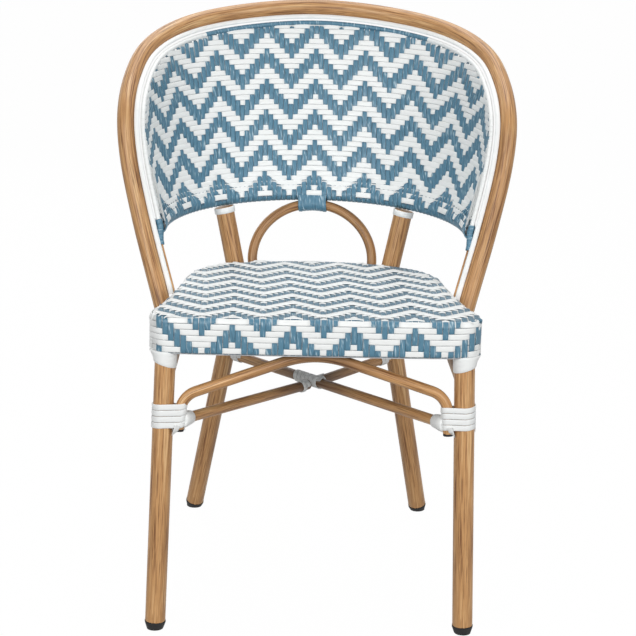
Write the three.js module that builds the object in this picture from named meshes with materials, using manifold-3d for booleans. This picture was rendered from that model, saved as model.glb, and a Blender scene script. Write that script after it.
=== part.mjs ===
import * as THREE from 'three';
import { mergeVertices } from 'three/addons/utils/BufferGeometryUtils.js';
import Module from 'manifold-3d';

// Barrel-back bistro chair of bent tube with a woven seat and back.
// Millimetres, X to the right as seen from the front, Y towards the back, Z up. While the pieces
// are made, Y is measured from the line between the front feet; the finished group is then centred.

const wasm = await Module();
wasm.setup();

// Tubes and clearances
const tube = { leg: 28.6, hoop: 25.4, slim: 15, rod: 5, wall: 1.5 };
const legRadius = tube.leg / 2;
const hoopRadius = tube.hoop / 2;
const slimRadius = tube.slim / 2;
const rodRadius = tube.rod / 2;
const gap = 0.3;
const overrun = 40;

// Woven strands and bindings
const strand = { thick: 1.4 };
const skin = 3;

// Seat: woven top with an apron, over a bent flat bar
const seat = { halfWidth: 227.5, front: -16, rear: 371, top: 452, apron: 50, edgeRound: 8, innerRound: 5 };
const seatBottom = seat.top - seat.apron;
const seatLength = seat.rear - seat.front;
const frameBar = { thick: 12, chamfer: 3, drop: 1.5 };
const crossBar = { width: 24, height: 14, frontY: 112, rearY: 252 };

// Back: hoop, lower rail and lean
const hoop = { overhang: 55, baseY: 183, baseZ: 436, topY: 541, topZ: 835, runZ: 368, bendRadius: 52 };
const hoopHalfWidth = seat.halfWidth + hoop.overhang;
const leanAngle = THREE.MathUtils.degToRad(21.5);
const rail = { centreY: 428.6, z: 549, tiltShare: 0.085, endShift: 4 };

// What the woven back is laced to: a thin rod beside the hoop, which closes up to it below the
// weave, and the flat piping between the two
const rod = { inset: 25.5, footInset: 20.5, closedZ: 505, openZ: 530 };
const piping = { width: 7.6, thick: 4, forward: 4.8 };
const backSkin = 3;

// Legs, by the places of their axes
const frontLeg = { inset: 22.9, splay: 12.7, footY: 0, topY: 6 };
const rearLeg = {
  inset: 113,
  footSplay: 74.9,
  topSplay: 28.5,
  footY: 501,
  bendY: 378,
  bendZ: 409,
  bendRadius: 90,
};
const foot = { height: 12, flange: 2.2, lip: 0.6, taper: 3.2, plug: 16 };

// Arch behind the seat
const arch = { inset: 132.5, footInset: 136.5, springZ: 452 };
const archHalfWidth = seat.halfWidth - arch.inset;

// Bow brace between the front legs
const brace = {
  y: 1.5,
  endInset: 22.2,
  endY: -0.5,
  endZ: 294.5,
  kneeInset: 24.5,
  kneeZ: 340,
  bendRadius: 24,
  crownRadius: 165,
  slope: 19.6,
  plug: 3,
};

// X stretcher
const stretcher = { frontZ: 306.2, rearZ: 292.8, sag: 5.3 };

// Small joining pieces
const lug = { radius: 7, z: 424, clearance: 0.6 };
const crossRailZ = 405;
const collar = { leg: 16, post: 11, sleeve: 16, setback: 1, thick: 1.5 };
const lashing = { pitch: 9.2, width: 8.5, rearStart: 19.5, turns: 2.5 };
const frontLashing = { pitch: 8.6, width: 8, z: 293, turns: 3.1 };
const centreLashing = { longStart: -39, longTurns: 5.4, shortStart: 12.5, shortTurns: 1.25 };
const binding = { turns: 8, pitch: 7.2, width: 6.6 };

const woodLook = { color: 0xb98d5e, roughness: 0.45, metalness: 0.1 };
const bareMetal = { color: 0x9a9da0, roughness: 0.5, metalness: 0.8 };
const whiteStrand = { color: 0xeef0ee, roughness: 0.4, metalness: 0 };
const greyStrand = { color: 0xc9ccca, roughness: 0.4, metalness: 0 };
const blueStrand = { color: 0x5b8ba4, roughness: 0.35, metalness: 0 };
const blackPlastic = { color: 0x18181a, roughness: 0.6, metalness: 0 };

// Shares of the hoop's half width, of its sweep in Y and of its rise in Z, from the seat to the top
const hoopShares = [
  [0.795, 0, 0],
  [0.91, 0.112, 0.273],
  [0.9805, 0.176, 0.494],
  [1, 0.232, 0.637],
  [0.984, 0.405, 0.764],
  [0.918, 0.573, 0.86],
  [0.743, 0.771, 0.932],
  [0.442, 0.93, 0.977],
  [0, 1, 1],
];

// Shares of the seat's half width and of its length, from the middle of the front edge to that of the rear
const seatShares = [
  [0, 0],
  [0.45, 0.001],
  [0.8, 0.006],
  [0.93, 0.02],
  [0.985, 0.05],
  [1, 0.1],
  [0.962, 0.2],
  [0.919, 0.32],
  [0.893, 0.43],
  [0.866, 0.55],
  [0.839, 0.68],
  [0.788, 0.78],
  [0.704, 0.86],
  [0.586, 0.915],
  [0.41, 0.962],
  [0.196, 0.99],
  [0, 1],
];

const chair = new THREE.Group();
const v3 = (x, y, z) => new THREE.Vector3(x, y, z);
const mirrored = (p) => v3(-p.x, p.y, p.z);

function add(name, geometry, finish) {
  const mesh = new THREE.Mesh(geometry, new THREE.MeshStandardMaterial(finish));
  mesh.name = name;
  chair.add(mesh);
  return mesh;
}

// The piece as made on the right and its mirror image on the left
function addPair(name, geometry, finish) {
  add(`${name}_right`, geometry, finish);
  add(`${name}_left`, geometry, finish).scale.x = -1;
}

// Geometry to solid and back
function solidOf(geometry) {
  const bare = new THREE.BufferGeometry();
  bare.setAttribute('position', geometry.getAttribute('position').clone());
  if (geometry.index) bare.setIndex(geometry.index.clone());
  const merged = mergeVertices(bare, 1e-4);
  const vertProperties = merged.getAttribute('position').array;
  const triVerts = new Uint32Array(merged.index.array);
  return new wasm.Manifold(new wasm.Mesh({ numProp: 3, vertProperties, triVerts }));
}

function geometryOf(solid) {
  const made = solid.getMesh();
  const geometry = new THREE.BufferGeometry();
  geometry.setAttribute('position', new THREE.BufferAttribute(new Float32Array(made.vertProperties), 3));
  geometry.setIndex(new THREE.BufferAttribute(new Uint32Array(made.triVerts), 1));
  const flat = geometry.toNonIndexed();
  flat.computeVertexNormals();
  return flat;
}

const toSolid = (shape) => (shape.isBufferGeometry ? solidOf(shape) : shape);

function cut(shape, ...cutters) {
  let solid = toSolid(shape);
  for (const cutter of cutters) solid = solid.subtract(toSolid(cutter));
  return geometryOf(solid);
}

// A solid together with its mirror image on the chair's other side
function bothSides(geometry) {
  const solid = solidOf(geometry);
  return solid.add(solid.mirror([1, 0, 0]));
}

function block(minX, maxX, minY, maxY, minZ, maxZ) {
  const box = new THREE.BoxGeometry(maxX - minX, maxY - minY, maxZ - minZ);
  return box.translate((minX + maxX) / 2, (minY + maxY) / 2, (minZ + maxZ) / 2);
}

// All that lies above or below one height
const wideBlock = (minZ, maxZ) => block(-hoop.topZ, hoop.topZ, -hoop.topZ, hoop.topZ, minZ, maxZ);

// A run of curves as one path, with its rings placed piece by piece instead of evenly
class StationPath extends THREE.Curve {
  constructor(pieces) {
    super();
    this.stations = [];
    pieces.forEach(({ curve, steps }, k) => {
      for (let i = k ? 1 : 0; i <= steps; i++) this.stations.push({ curve, share: i / steps });
    });
  }

  get steps() {
    return this.stations.length - 1;
  }

  station(u) {
    return this.stations[Math.round(u * this.steps)];
  }

  getPoint(u) {
    const { curve, share } = this.station(u);
    return curve.getPointAt(share);
  }

  getPointAt(u) {
    return this.getPoint(u);
  }

  getTangentAt(u) {
    const { curve, share } = this.station(u);
    return curve.getTangentAt(share);
  }
}

// A circular bend at a corner between two straight runs
class Bend extends THREE.Curve {
  constructor(before, corner, after, radius) {
    super();
    this.inward = corner.clone().sub(before).normalize();
    const onward = after.clone().sub(corner).normalize();
    this.angle = this.inward.angleTo(onward);
    const reach = radius * Math.tan(this.angle / 2);
    this.start = corner.clone().addScaledVector(this.inward, -reach);
    this.end = corner.clone().addScaledVector(onward, reach);
    this.radius = radius;
    this.toCentre = onward.clone().addScaledVector(this.inward, -onward.dot(this.inward)).normalize();
  }

  getPoint(t) {
    const turn = this.angle * t;
    const point = this.start.clone().addScaledVector(this.inward, this.radius * Math.sin(turn));
    return point.addScaledVector(this.toCentre, this.radius * (1 - Math.cos(turn)));
  }
}

// The straight runs and bends through a list of corners
function bentPieces(corners, radii, bendSteps) {
  const pieces = [];
  let from = corners[0];
  for (let i = 1; i < corners.length - 1; i++) {
    const bend = new Bend(corners[i - 1], corners[i], corners[i + 1], radii[i - 1]);
    pieces.push({ curve: new THREE.LineCurve3(from, bend.start), steps: 1 });
    pieces.push({ curve: bend, steps: bendSteps });
    from = bend.end;
  }
  pieces.push({ curve: new THREE.LineCurve3(from, corners[corners.length - 1]), steps: 1 });
  return pieces;
}

function ringPoints(radius, sides) {
  const points = [];
  for (let i = 0; i < sides; i++) {
    const turn = (2 * Math.PI * i) / sides;
    points.push(new THREE.Vector2(radius * Math.cos(turn), radius * Math.sin(turn)));
  }
  return points;
}

// A round tube along a path, with a bore open at both ends where one is given
function sweep(path, radius, sides, bore = 0, boreSides = sides) {
  const section = new THREE.Shape(ringPoints(radius, sides));
  if (bore) section.holes.push(new THREE.Path(ringPoints(bore, boreSides)));
  return new THREE.ExtrudeGeometry(section, { steps: path.steps, extrudePath: path, curveSegments: 1 });
}

function straight(from, to, radius, sides, bore = 0, boreSides = sides) {
  const path = new StationPath([{ curve: new THREE.LineCurve3(from, to), steps: 1 }]);
  return sweep(path, radius, sides, bore, boreSides);
}

const between = (from, to, z) => from.clone().lerp(to, (z - from.z) / (to.z - from.z));

// Front legs
const legSides = 16;
const boreSides = 8;
const legBore = legRadius - tube.wall;
const frontTop = v3(seat.halfWidth - frontLeg.inset, frontLeg.topY, seatBottom);
const frontFoot = v3(frontTop.x + frontLeg.splay, frontLeg.footY, 0);
const frontAt = (z) => between(frontFoot, frontTop, z);

function frontLegGeometry() {
  const axis = frontTop.clone().sub(frontFoot).normalize();
  const start = frontFoot.clone().addScaledVector(axis, foot.height);
  const end = frontTop.clone().addScaledVector(axis, legRadius);
  const leg = straight(start, end, legRadius, legSides, legBore, boreSides);
  return cut(leg, wideBlock(seatBottom - gap, hoop.topZ));
}

// Plug feet, cut level with the floor
function footGeometry(floorPoint, towards) {
  const plugRadius = legBore * Math.cos(Math.PI / boreSides) - gap;
  const rim = legRadius + foot.lip;
  const flangeTop = foot.height - gap;
  const profile = [
    [0, -overrun],
    [rim - foot.taper, -overrun],
    [rim - foot.taper, 0],
    [rim, flangeTop - foot.flange],
    [rim, flangeTop],
    [plugRadius, flangeTop],
    [plugRadius, foot.plug + flangeTop],
    [0, foot.plug + flangeTop],
  ].map(([r, z]) => new THREE.Vector2(r, z));
  const cap = new THREE.LatheGeometry(profile, legSides);
  const axis = towards.clone().sub(floorPoint).normalize();
  cap.applyQuaternion(new THREE.Quaternion().setFromUnitVectors(v3(0, 1, 0), axis));
  cap.translate(floorPoint.x, floorPoint.y, floorPoint.z);
  return cut(cap, wideBlock(-2 * overrun, 0));
}

// Hoop: level run to the front leg, bend, side and crown, in one tube
const hoopPoints = hoopShares.map(([x, y, z]) =>
  v3(x * hoopHalfWidth, hoop.baseY + y * (hoop.topY - hoop.baseY), hoop.baseZ + z * (hoop.topZ - hoop.baseZ)),
);
const hoopCurve = new THREE.CatmullRomCurve3(
  [...hoopPoints, ...hoopPoints.slice(0, -1).reverse().map(mirrored)],
  false,
  'centripetal',
);

function hoopPath(crownSteps) {
  const side = hoopPoints[0];
  const rise = hoopCurve.getTangentAt(0);
  const corner = side.clone().addScaledVector(rise, (hoop.runZ - side.z) / rise.z);
  const legPoint = frontAt(hoop.runZ);
  const runEnd = v3(legPoint.x, legPoint.y, hoop.runZ);
  const run = bentPieces([runEnd, corner, side], [hoop.bendRadius], 7);
  const back = bentPieces([mirrored(side), mirrored(corner), mirrored(runEnd)], [hoop.bendRadius], 7);
  return new StationPath([...run, { curve: hoopCurve, steps: crownSteps }, ...back]);
}

function hoopGeometry() {
  const leg = straight(frontAt(0), frontTop, legRadius + gap, legSides);
  return cut(sweep(hoopPath(54), hoopRadius, 14, hoopRadius - tube.wall, 6), bothSides(leg));
}

// A curve beside the hoop, inward of it in the leaning plane of the back
const facing = v3(0, -Math.cos(leanAngle), Math.sin(leanAngle));

class InsetPath extends THREE.Curve {
  constructor(inset, from, to) {
    super();
    Object.assign(this, { inset, from, to });
  }

  getPoint(t) {
    const u = this.from + (this.to - this.from) * t;
    const point = hoopCurve.getPointAt(u);
    return point.addScaledVector(inwardAt(u), this.inset(point.z));
  }
}

const inwardAt = (u) => facing.clone().cross(hoopCurve.getTangentAt(u)).normalize();
const rodEndShare = 0.006;
const besideSteps = 64;
const rodOpening = (z) => THREE.MathUtils.smoothstep(z, rod.closedZ, rod.openZ);
const rodRoom = (z) => rod.footInset + (rod.inset - rod.footInset) * rodOpening(z);
const edgeRoom = (z) => rodRoom(z) + rodRadius + gap;

function rodGeometry(radius) {
  const curve = new InsetPath(rodRoom, rodEndShare, 1 - rodEndShare);
  return sweep(new StationPath([{ curve, steps: besideSteps }]), radius, 6);
}

// Closes a run of rings, each turning right-handed about the way ahead, with flat ends
function loft(rings) {
  const sides = rings[0].length;
  const faces = [];
  rings.slice(1).forEach((_, k) => {
    for (let j = 0; j < sides; j++) {
      const [a, b] = [sides * k + j, sides * k + ((j + 1) % sides)];
      faces.push(a, b + sides, a + sides, a, b, b + sides);
    }
  });
  const end = sides * (rings.length - 1);
  for (let j = 1; j < sides - 1; j++) {
    faces.push(0, j + 1, j);
    faces.push(end, end + j, end + j + 1);
  }
  return surfaceGeometry(rings.flat(), faces);
}

// Flat piping in front of the groove between hoop and rod
function pipingGeometry() {
  const rearFace = piping.forward - piping.thick / 2;
  const inset = Math.sqrt((hoopRadius + gap) ** 2 - rearFace ** 2) + piping.width / 2;
  const rings = [];
  for (let i = 0; i <= besideSteps; i++) {
    const u = rodEndShare + ((1 - 2 * rodEndShare) * i) / besideSteps;
    const inward = inwardAt(u);
    const forward = hoopCurve.getTangentAt(u).cross(inward).normalize();
    const centre = hoopCurve.getPointAt(u).addScaledVector(inward, inset);
    centre.addScaledVector(forward, piping.forward);
    rings.push(
      ringPoints(1, 8).map((p) =>
        centre
          .clone()
          .addScaledVector(inward, (p.x * piping.width) / 2)
          .addScaledVector(forward, (p.y * piping.thick) / 2),
      ),
    );
  }
  return loft(rings);
}

// Surface of the woven back. Each level is part of an ellipse whose half width and depth follow
// the rod up to the level where the hoop starts to sweep back.
const hoopSamples = 160;

function sampled(inset) {
  const curve = new InsetPath(inset, 0, 0.5);
  return Array.from({ length: hoopSamples + 1 }, (_, i) => curve.getPoint(i / hoopSamples));
}

function atLevel(points, z) {
  let i = 1;
  while (i < points.length - 1 && points[i].z < z) i++;
  return between(points[i - 1], points[i], z);
}

const rodPoints = sampled(rodRoom);
const edgePoints = sampled(edgeRoom);
const sideLevelShare = 0.62;
const sideLevel = hoop.baseZ + sideLevelShare * (hoop.topZ - hoop.baseZ);
const leanRun = Math.tan(leanAngle);
const flareShare = 0.09;
const deepenShare = 0.11;
const centreY = (z) => rail.centreY + (z - rail.z) * leanRun;

function levelWidth(z) {
  const above = Math.max(0, z - sideLevel);
  return atLevel(rodPoints, z - above).x + above * flareShare;
}

function levelDepth(z) {
  const above = Math.max(0, z - sideLevel);
  return centreY(z - above) - atLevel(rodPoints, z - above).y + above * deepenShare;
}

function levelPoint(angle, z) {
  return v3(levelWidth(z) * Math.sin(angle), centreY(z) - levelDepth(z) * (1 - Math.cos(angle)), z);
}

function angleOf(p) {
  return Math.atan2(p.x / levelWidth(p.z), (p.y - centreY(p.z)) / levelDepth(p.z) + 1);
}

const edgeAngles = edgePoints.map(angleOf);

// Where the panel's upper edge lies at an angle round the back
function edgePoint(angle) {
  const turn = Math.abs(angle);
  let i = edgePoints.length - 1;
  while (i > 1 && edgeAngles[i - 1] < turn) i--;
  const share = (turn - edgeAngles[i]) / (edgeAngles[i - 1] - edgeAngles[i]);
  const point = edgePoints[i].clone().lerp(edgePoints[i - 1], Math.min(1, Math.max(0, share)));
  return angle < 0 ? mirrored(point) : point;
}

// Height of the rail's axis at an angle round the back: the rail is a little lower at its ends
const railLevel = (angle) => rail.z - rail.tiltShare * levelDepth(rail.z) * (1 - Math.cos(angle));
const railPoint = (angle) => levelPoint(angle, railLevel(angle));

// A point of the back, eased so that the upper edge lies on the hoop's inner side
function backPoint(angle, z) {
  const edge = edgePoint(angle);
  const share = Math.max(0, (z - railLevel(angle)) / (edge.z - railLevel(angle)));
  return levelPoint(angle, z).addScaledVector(edge.sub(levelPoint(angle, edge.z)), share * share);
}

// The woven back as a curved shell of even thickness
function backShellGeometry() {
  const columns = 36;
  const rows = 9;
  const widest = Math.acos((rodRadius + 2 * gap) / levelDepth(rail.z));
  const nudge = 1e-3;
  const outside = [];
  const inside = [];
  for (let i = 0; i <= columns; i++) {
    const angle = widest * (-1 + (2 * i) / columns);
    const bottom = railLevel(angle) + slimRadius + gap;
    for (let j = 0; j <= rows; j++) {
      const z = bottom + ((edgePoint(angle).z - bottom) * j) / rows;
      const point = backPoint(angle, z);
      const across = backPoint(angle + nudge, z).sub(backPoint(angle - nudge, z));
      const up = backPoint(angle, z + nudge).sub(backPoint(angle, z - nudge));
      const normal = across.cross(up).normalize();
      outside.push(point.clone().addScaledVector(normal, -backSkin / 2));
      inside.push(point.clone().addScaledVector(normal, backSkin / 2));
    }
  }
  return shellGeometry(inside, outside, columns, rows);
}

// Joins two grids of points, front and back, and closes the four edges between them
function shellGeometry(front, behind, columns, rows) {
  const points = [...front, ...behind];
  const offset = front.length;
  const at = (i, j) => i * (rows + 1) + j;
  const faces = [];
  const quad = (a, b, c, d) => faces.push(a, b, c, a, c, d);
  for (let i = 0; i < columns; i++) {
    for (let j = 0; j < rows; j++) {
      quad(at(i, j), at(i + 1, j), at(i + 1, j + 1), at(i, j + 1));
      quad(offset + at(i, j), offset + at(i, j + 1), offset + at(i + 1, j + 1), offset + at(i + 1, j));
    }
    quad(at(i, 0), offset + at(i, 0), offset + at(i + 1, 0), at(i + 1, 0));
    quad(at(i, rows), at(i + 1, rows), offset + at(i + 1, rows), offset + at(i, rows));
  }
  for (let j = 0; j < rows; j++) {
    quad(at(0, j), at(0, j + 1), offset + at(0, j + 1), offset + at(0, j));
    quad(at(columns, j), offset + at(columns, j), offset + at(columns, j + 1), at(columns, j + 1));
  }
  return surfaceGeometry(points, faces);
}

function surfaceGeometry(points, faces) {
  const geometry = new THREE.BufferGeometry();
  const places = points.flatMap((p) => [p.x, p.y, p.z]);
  geometry.setAttribute('position', new THREE.Float32BufferAttribute(places, 3));
  geometry.setIndex(faces);
  const flat = geometry.toNonIndexed();
  flat.computeVertexNormals();
  return flat;
}

// Lower rail of the back: half an ellipse in plan, its ends just short of the rods
class RailCurve extends THREE.Curve {
  constructor() {
    super();
    this.reach = Math.acos((rodRadius + gap + rail.endShift) / levelDepth(rail.z));
  }

  getPoint(t) {
    return railPoint(this.reach * (1 - 2 * t));
  }
}

const railCurve = new RailCurve();
const railSides = 10;
const railPath = () => new StationPath([{ curve: railCurve, steps: 28 }]);
const wrapBore = slimRadius + gap;
const wrapRadius = wrapBore + backSkin / 2;

// Rear legs, each one tube from the floor to the back's rail
const abovePosts = (z) => wideBlock(z, hoop.topZ);
const rearKnee = v3(seat.halfWidth - rearLeg.inset, rearLeg.bendY, rearLeg.bendZ);
const rearFoot = v3(rearKnee.x + rearLeg.footSplay, rearLeg.footY, 0);
const rearTop = railPoint(Math.asin((rearKnee.x + rearLeg.topSplay) / levelWidth(rail.z)));
const rearAt = (z) => between(rearFoot, rearKnee, z);

function rearLegPath(start, bendSteps) {
  return new StationPath(bentPieces([start, rearKnee, rearTop], [rearLeg.bendRadius], bendSteps));
}

function rearLegGeometry() {
  const axis = rearKnee.clone().sub(rearFoot).normalize();
  const start = rearFoot.clone().addScaledVector(axis, foot.height);
  const leg = sweep(rearLegPath(start, 8), legRadius, legSides, legBore, boreSides);
  return cut(leg, abovePosts(rearTop.z - wrapRadius - 3 * gap));
}

// The woven back: its shell, and the strands' wrap round the lower rail. A notch in the middle
// lets the blue binding pass.
function backPanelGeometry() {
  const notch = binding.turns * binding.pitch / 2 + 2 * gap;
  const notchTop = rail.z + slimRadius + strand.thick + 2 * gap;
  const wrap = solidOf(sweep(railPath(), wrapRadius, railSides, wrapBore));
  const [front, back] = [rail.centreY - overrun, rail.centreY + overrun];
  const passage = block(-notch, notch, front, back, rail.z - overrun, notchTop);
  return cut(solidOf(backShellGeometry()).add(wrap), passage, rodGeometry(rodRadius + gap));
}

// Arch behind the seat: its crown under the rail, in a plane that leans with the back, and its
// feet on the rear cross rail
const crownPoint = v3(0, rail.centreY, rail.z).addScaledVector(
  v3(0, Math.sin(leanAngle), Math.cos(leanAngle)),
  -(tube.slim + gap),
);
const crossRailY = seat.rear + gap + slimRadius;

class ArchCurve extends THREE.Curve {
  getPoint(t) {
    const turn = Math.PI * t;
    const drop = (crownPoint.z - arch.springZ) * (1 - Math.sin(turn));
    return v3(archHalfWidth * Math.cos(turn), crownPoint.y - drop * leanRun, crownPoint.z - drop);
  }
}

const archCurve = new ArchCurve();

const crossRail = (radius) =>
  straight(v3(-rearKnee.x, crossRailY, crossRailZ), v3(rearKnee.x, crossRailY, crossRailZ), radius, 12);

function archGeometry() {
  const start = v3(seat.halfWidth - arch.footInset, crossRailY, crossRailZ);
  const spring = archCurve.getPoint(0);
  const path = new StationPath([
    { curve: new THREE.LineCurve3(start, spring), steps: 1 },
    { curve: archCurve, steps: 26 },
    { curve: new THREE.LineCurve3(mirrored(spring), mirrored(start)), steps: 1 },
  ]);
  return cut(sweep(path, slimRadius, 10), crossRail(slimRadius + gap));
}

const rearLegCutter = () => bothSides(sweep(rearLegPath(rearFoot, 8), legRadius + gap, legSides));

// Seat: the plan outline as an extruded solid, drawn in by an inset and rounded at its top
const seatCurve = new THREE.CatmullRomCurve3(
  [...seatShares, ...seatShares.slice(1, -1).reverse().map(([x, y]) => [-x, y])].map(([x, y]) =>
    v3(x * seat.halfWidth, seat.front + y * seatLength, 0),
  ),
  true,
  'centripetal',
);
const seatOutline = seatCurve.getSpacedPoints(60).slice(0, -1);
const seatPlan = new THREE.Shape(seatOutline.map((p) => new THREE.Vector2(p.x, p.y)));

function seatSolid(inset, top, round, segments = 3) {
  const geometry = new THREE.ExtrudeGeometry(seatPlan, {
    depth: seat.apron + overrun,
    bevelSize: round,
    bevelThickness: round,
    bevelOffset: -inset - round,
    bevelSegments: segments,
  });
  return solidOf(geometry.translate(0, 0, top - seat.apron - overrun - round));
}

const belowSeat = (z) => wideBlock(z - hoop.topZ, z);
const lugY = () => hoopAt(lug.z).y;
const lugBar = (radius) => straight(v3(0, lugY(), lug.z), v3(hoopAt(lug.z).x, lugY(), lug.z), radius, 12);

// The hoop's axis at a level below the seat's top
function hoopAt(z) {
  const side = hoopPoints[0];
  const rise = hoopCurve.getTangentAt(0);
  return side.clone().addScaledVector(rise, (z - side.z) / rise.z);
}

function seatPanelGeometry() {
  const outside = seatSolid(0, seat.top, seat.edgeRound);
  const inside = seatSolid(skin, seat.top - skin, seat.innerRound);
  return cut(outside, inside, belowSeat(seatBottom), bothSides(lugBar(lug.radius + lug.clearance)));
}

const frameInset = skin + gap;
const frameTop = seat.top - skin - gap - frameBar.drop;
const frameBottom = seatBottom + 2 * gap;

function seatFrameGeometry() {
  const outside = seatSolid(frameInset, frameTop, frameBar.chamfer, 1);
  const inside = seatSolid(frameInset + frameBar.thick, frameTop + overrun, frameBar.chamfer, 1);
  return cut(outside, inside, belowSeat(frameBottom));
}

function crossBarGeometry(y) {
  const top = seat.top - skin - gap;
  const bar = block(-seat.halfWidth, seat.halfWidth, y, y + crossBar.width, top - crossBar.height, top);
  const room = seatSolid(frameInset + frameBar.thick + gap, frameTop + overrun, frameBar.chamfer, 1);
  return geometryOf(solidOf(bar).intersect(room));
}

function lugGeometry() {
  const hoopTube = sweep(hoopPath(54), hoopRadius + gap, 14);
  return cut(lugBar(lug.radius), seatSolid(skin, seat.top, frameBar.chamfer, 1), hoopTube);
}

// Bow brace under the front of the seat
const braceEnd = v3(frontAt(brace.endZ).x - brace.endInset, brace.endY, brace.endZ);
const braceKnee = v3(frontAt(brace.kneeZ).x - brace.kneeInset, brace.y, brace.kneeZ);
const braceSlope = Math.tan(THREE.MathUtils.degToRad(brace.slope));
const braceCrownZ = frameBottom - gap - slimRadius;
const braceRise = brace.crownRadius * (1 / Math.cos(Math.atan(braceSlope)) - 1);
const braceApex = v3(0, brace.y, braceCrownZ + braceRise);
const braceAt = (z) => between(braceEnd, braceKnee, z);

function braceGeometry() {
  const corners = [braceEnd, braceKnee, braceApex, mirrored(braceKnee), mirrored(braceEnd)];
  const pieces = bentPieces(corners, [brace.bendRadius, brace.crownRadius, brace.bendRadius], 7);
  return sweep(new StationPath(pieces), slimRadius, 12, slimRadius - tube.wall, 8);
}

function bracePlugGeometry() {
  const plugRadius = (slimRadius - tube.wall) * Math.cos(Math.PI / 8) - gap;
  const profile = [
    [0, -brace.plug - gap],
    [slimRadius, -brace.plug - gap],
    [slimRadius, -gap],
    [plugRadius, -gap],
    [plugRadius, foot.plug],
    [0, foot.plug],
  ].map(([r, z]) => new THREE.Vector2(r, z));
  const axis = braceKnee.clone().sub(braceEnd).normalize();
  const plug = new THREE.LatheGeometry(profile, 12);
  plug.applyQuaternion(new THREE.Quaternion().setFromUnitVectors(v3(0, 1, 0), axis));
  return plug.translate(braceEnd.x, braceEnd.y, braceEnd.z);
}

// X stretcher: one long tube, and two halves that end at its sides a little lower
const frontStart = braceAt(stretcher.frontZ);
const longRear = mirrored(rearAt(stretcher.rearZ));
const crossing = frontStart.clone().lerp(longRear, frontStart.x / (frontStart.x - longRear.x));
const shortCrossing = crossing.clone().setZ(crossing.z - stretcher.sag);
const towardCentre = crossing.clone().sub(frontStart).normalize();
const endSetback = slimRadius + strand.thick + 4 * gap;
const longStart = frontStart.clone().addScaledVector(towardCentre, endSetback);

const slimBar = (from, to) => straight(from, to, slimRadius, 12);
const stretcherLongGeometry = () => cut(slimBar(longStart, longRear), rearLegCutter());

// A slab as wide as the long tube in its lashing, which the half tubes stop at
function longSlab() {
  const reach = slimRadius + strand.thick + 3 * gap;
  const slab = block(-reach, reach, -seatLength, seatLength, -overrun, overrun);
  const plan = towardCentre.clone().setZ(0).normalize();
  slab.rotateZ(Math.atan2(-plan.x, plan.y));
  return slab.translate(crossing.x, crossing.y, crossing.z);
}

const shortFrontStart = mirrored(longStart);
const shortRearEnd = rearAt(stretcher.rearZ);
const shortFrontGeometry = () => cut(slimBar(shortFrontStart, shortCrossing), longSlab());
const shortRearGeometry = () => cut(slimBar(shortCrossing, shortRearEnd), longSlab(), rearLegCutter());

// White sleeve on a straight tube, between two distances along it
function sleeveGeometry(from, towards, start, end, radius, sides) {
  const axis = towards.clone().sub(from).normalize();
  const point = (distance) => from.clone().addScaledVector(axis, distance);
  return straight(point(start), point(end), radius + gap + collar.thick, sides, radius + gap);
}

function legCollarGeometry() {
  const length = frontFoot.distanceTo(frontTop);
  const [from, to] = [length - collar.leg, length - collar.setback];
  return sleeveGeometry(frontFoot, frontTop, from, to, legRadius, legSides);
}

function postCollarGeometry() {
  const length = rearKnee.distanceTo(rearTop);
  const from = length - wrapRadius - collar.post;
  const ring = sleeveGeometry(rearKnee, rearTop, from, length, legRadius, legSides);
  return cut(ring, abovePosts(rearTop.z - wrapRadius - 4 * gap));
}

const stretcherSleeve = (from, towards) =>
  sleeveGeometry(from, towards, collar.setback, collar.sleeve, slimRadius, 12);

// A flat strand wound round one or more tubes. The strand keeps to the taut line round all of
// them, one pitch further along the axis with each turn.
function winding(name, { origin, axis, centres, radii, turns, pitch, width, steps = 20 }) {
  const first = v3(0, 0, 1).cross(axis).length() > 0.5 ? v3(0, 0, 1).cross(axis).normalize() : v3(1, 0, 0);
  const second = axis.clone().cross(first).normalize();
  const flat = 1 / Math.cos(Math.PI / steps);

  function corner(turn, along, layer) {
    const out = first.clone().multiplyScalar(Math.cos(turn)).addScaledVector(second, Math.sin(turn));
    let best = null;
    let farthest = -Infinity;
    centres(along).forEach((centre, i) => {
      const reach = centre.dot(out) + radii[i];
      if (reach > farthest) {
        farthest = reach;
        best = centre.clone().addScaledVector(out, (radii[i] + gap) * flat + layer);
      }
    });
    return best.addScaledVector(axis, along - best.clone().sub(origin).dot(axis));
  }

  const rings = [];
  for (let k = 0; k <= turns * steps; k++) {
    const turn = (2 * Math.PI * k) / steps;
    const [low, high] = [(k * pitch) / steps, (k * pitch) / steps + width];
    const inner = [corner(turn, low, 0), corner(turn, high, 0)];
    rings.push([...inner, corner(turn, high, strand.thick), corner(turn, low, strand.thick)]);
  }
  const points = rings.flat();
  let least = Infinity;
  points.forEach((p, i) => {
    for (let j = i + 4 * (steps - 3); j < points.length; j++) {
      least = Math.min(least, p.distanceTo(points[j]));
    }
  });
  if (turns > 1) console.log(`${name}: least gap between turns ${least.toFixed(2)} mm`);
  return loft(rings);
}

function coil(name, from, towards, start, turns = lashing.turns) {
  const axis = towards.clone().sub(from).normalize();
  return winding(name, {
    origin: from.clone().addScaledVector(axis, start),
    axis,
    centres: (along) => [from.clone().addScaledVector(axis, start + along)],
    radii: [slimRadius],
    turns,
    pitch: lashing.pitch,
    width: lashing.width,
  });
}

function frontLashingGeometry() {
  const base = frontLashing.z;
  return winding('lashing_front', {
    origin: v3(0, 0, base),
    axis: v3(0, 0, 1),
    centres: (along) => [frontAt(base + along), braceAt(base + along)],
    radii: [legRadius, slimRadius],
    turns: frontLashing.turns,
    pitch: frontLashing.pitch,
    width: frontLashing.width,
    steps: 24,
  });
}

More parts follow.
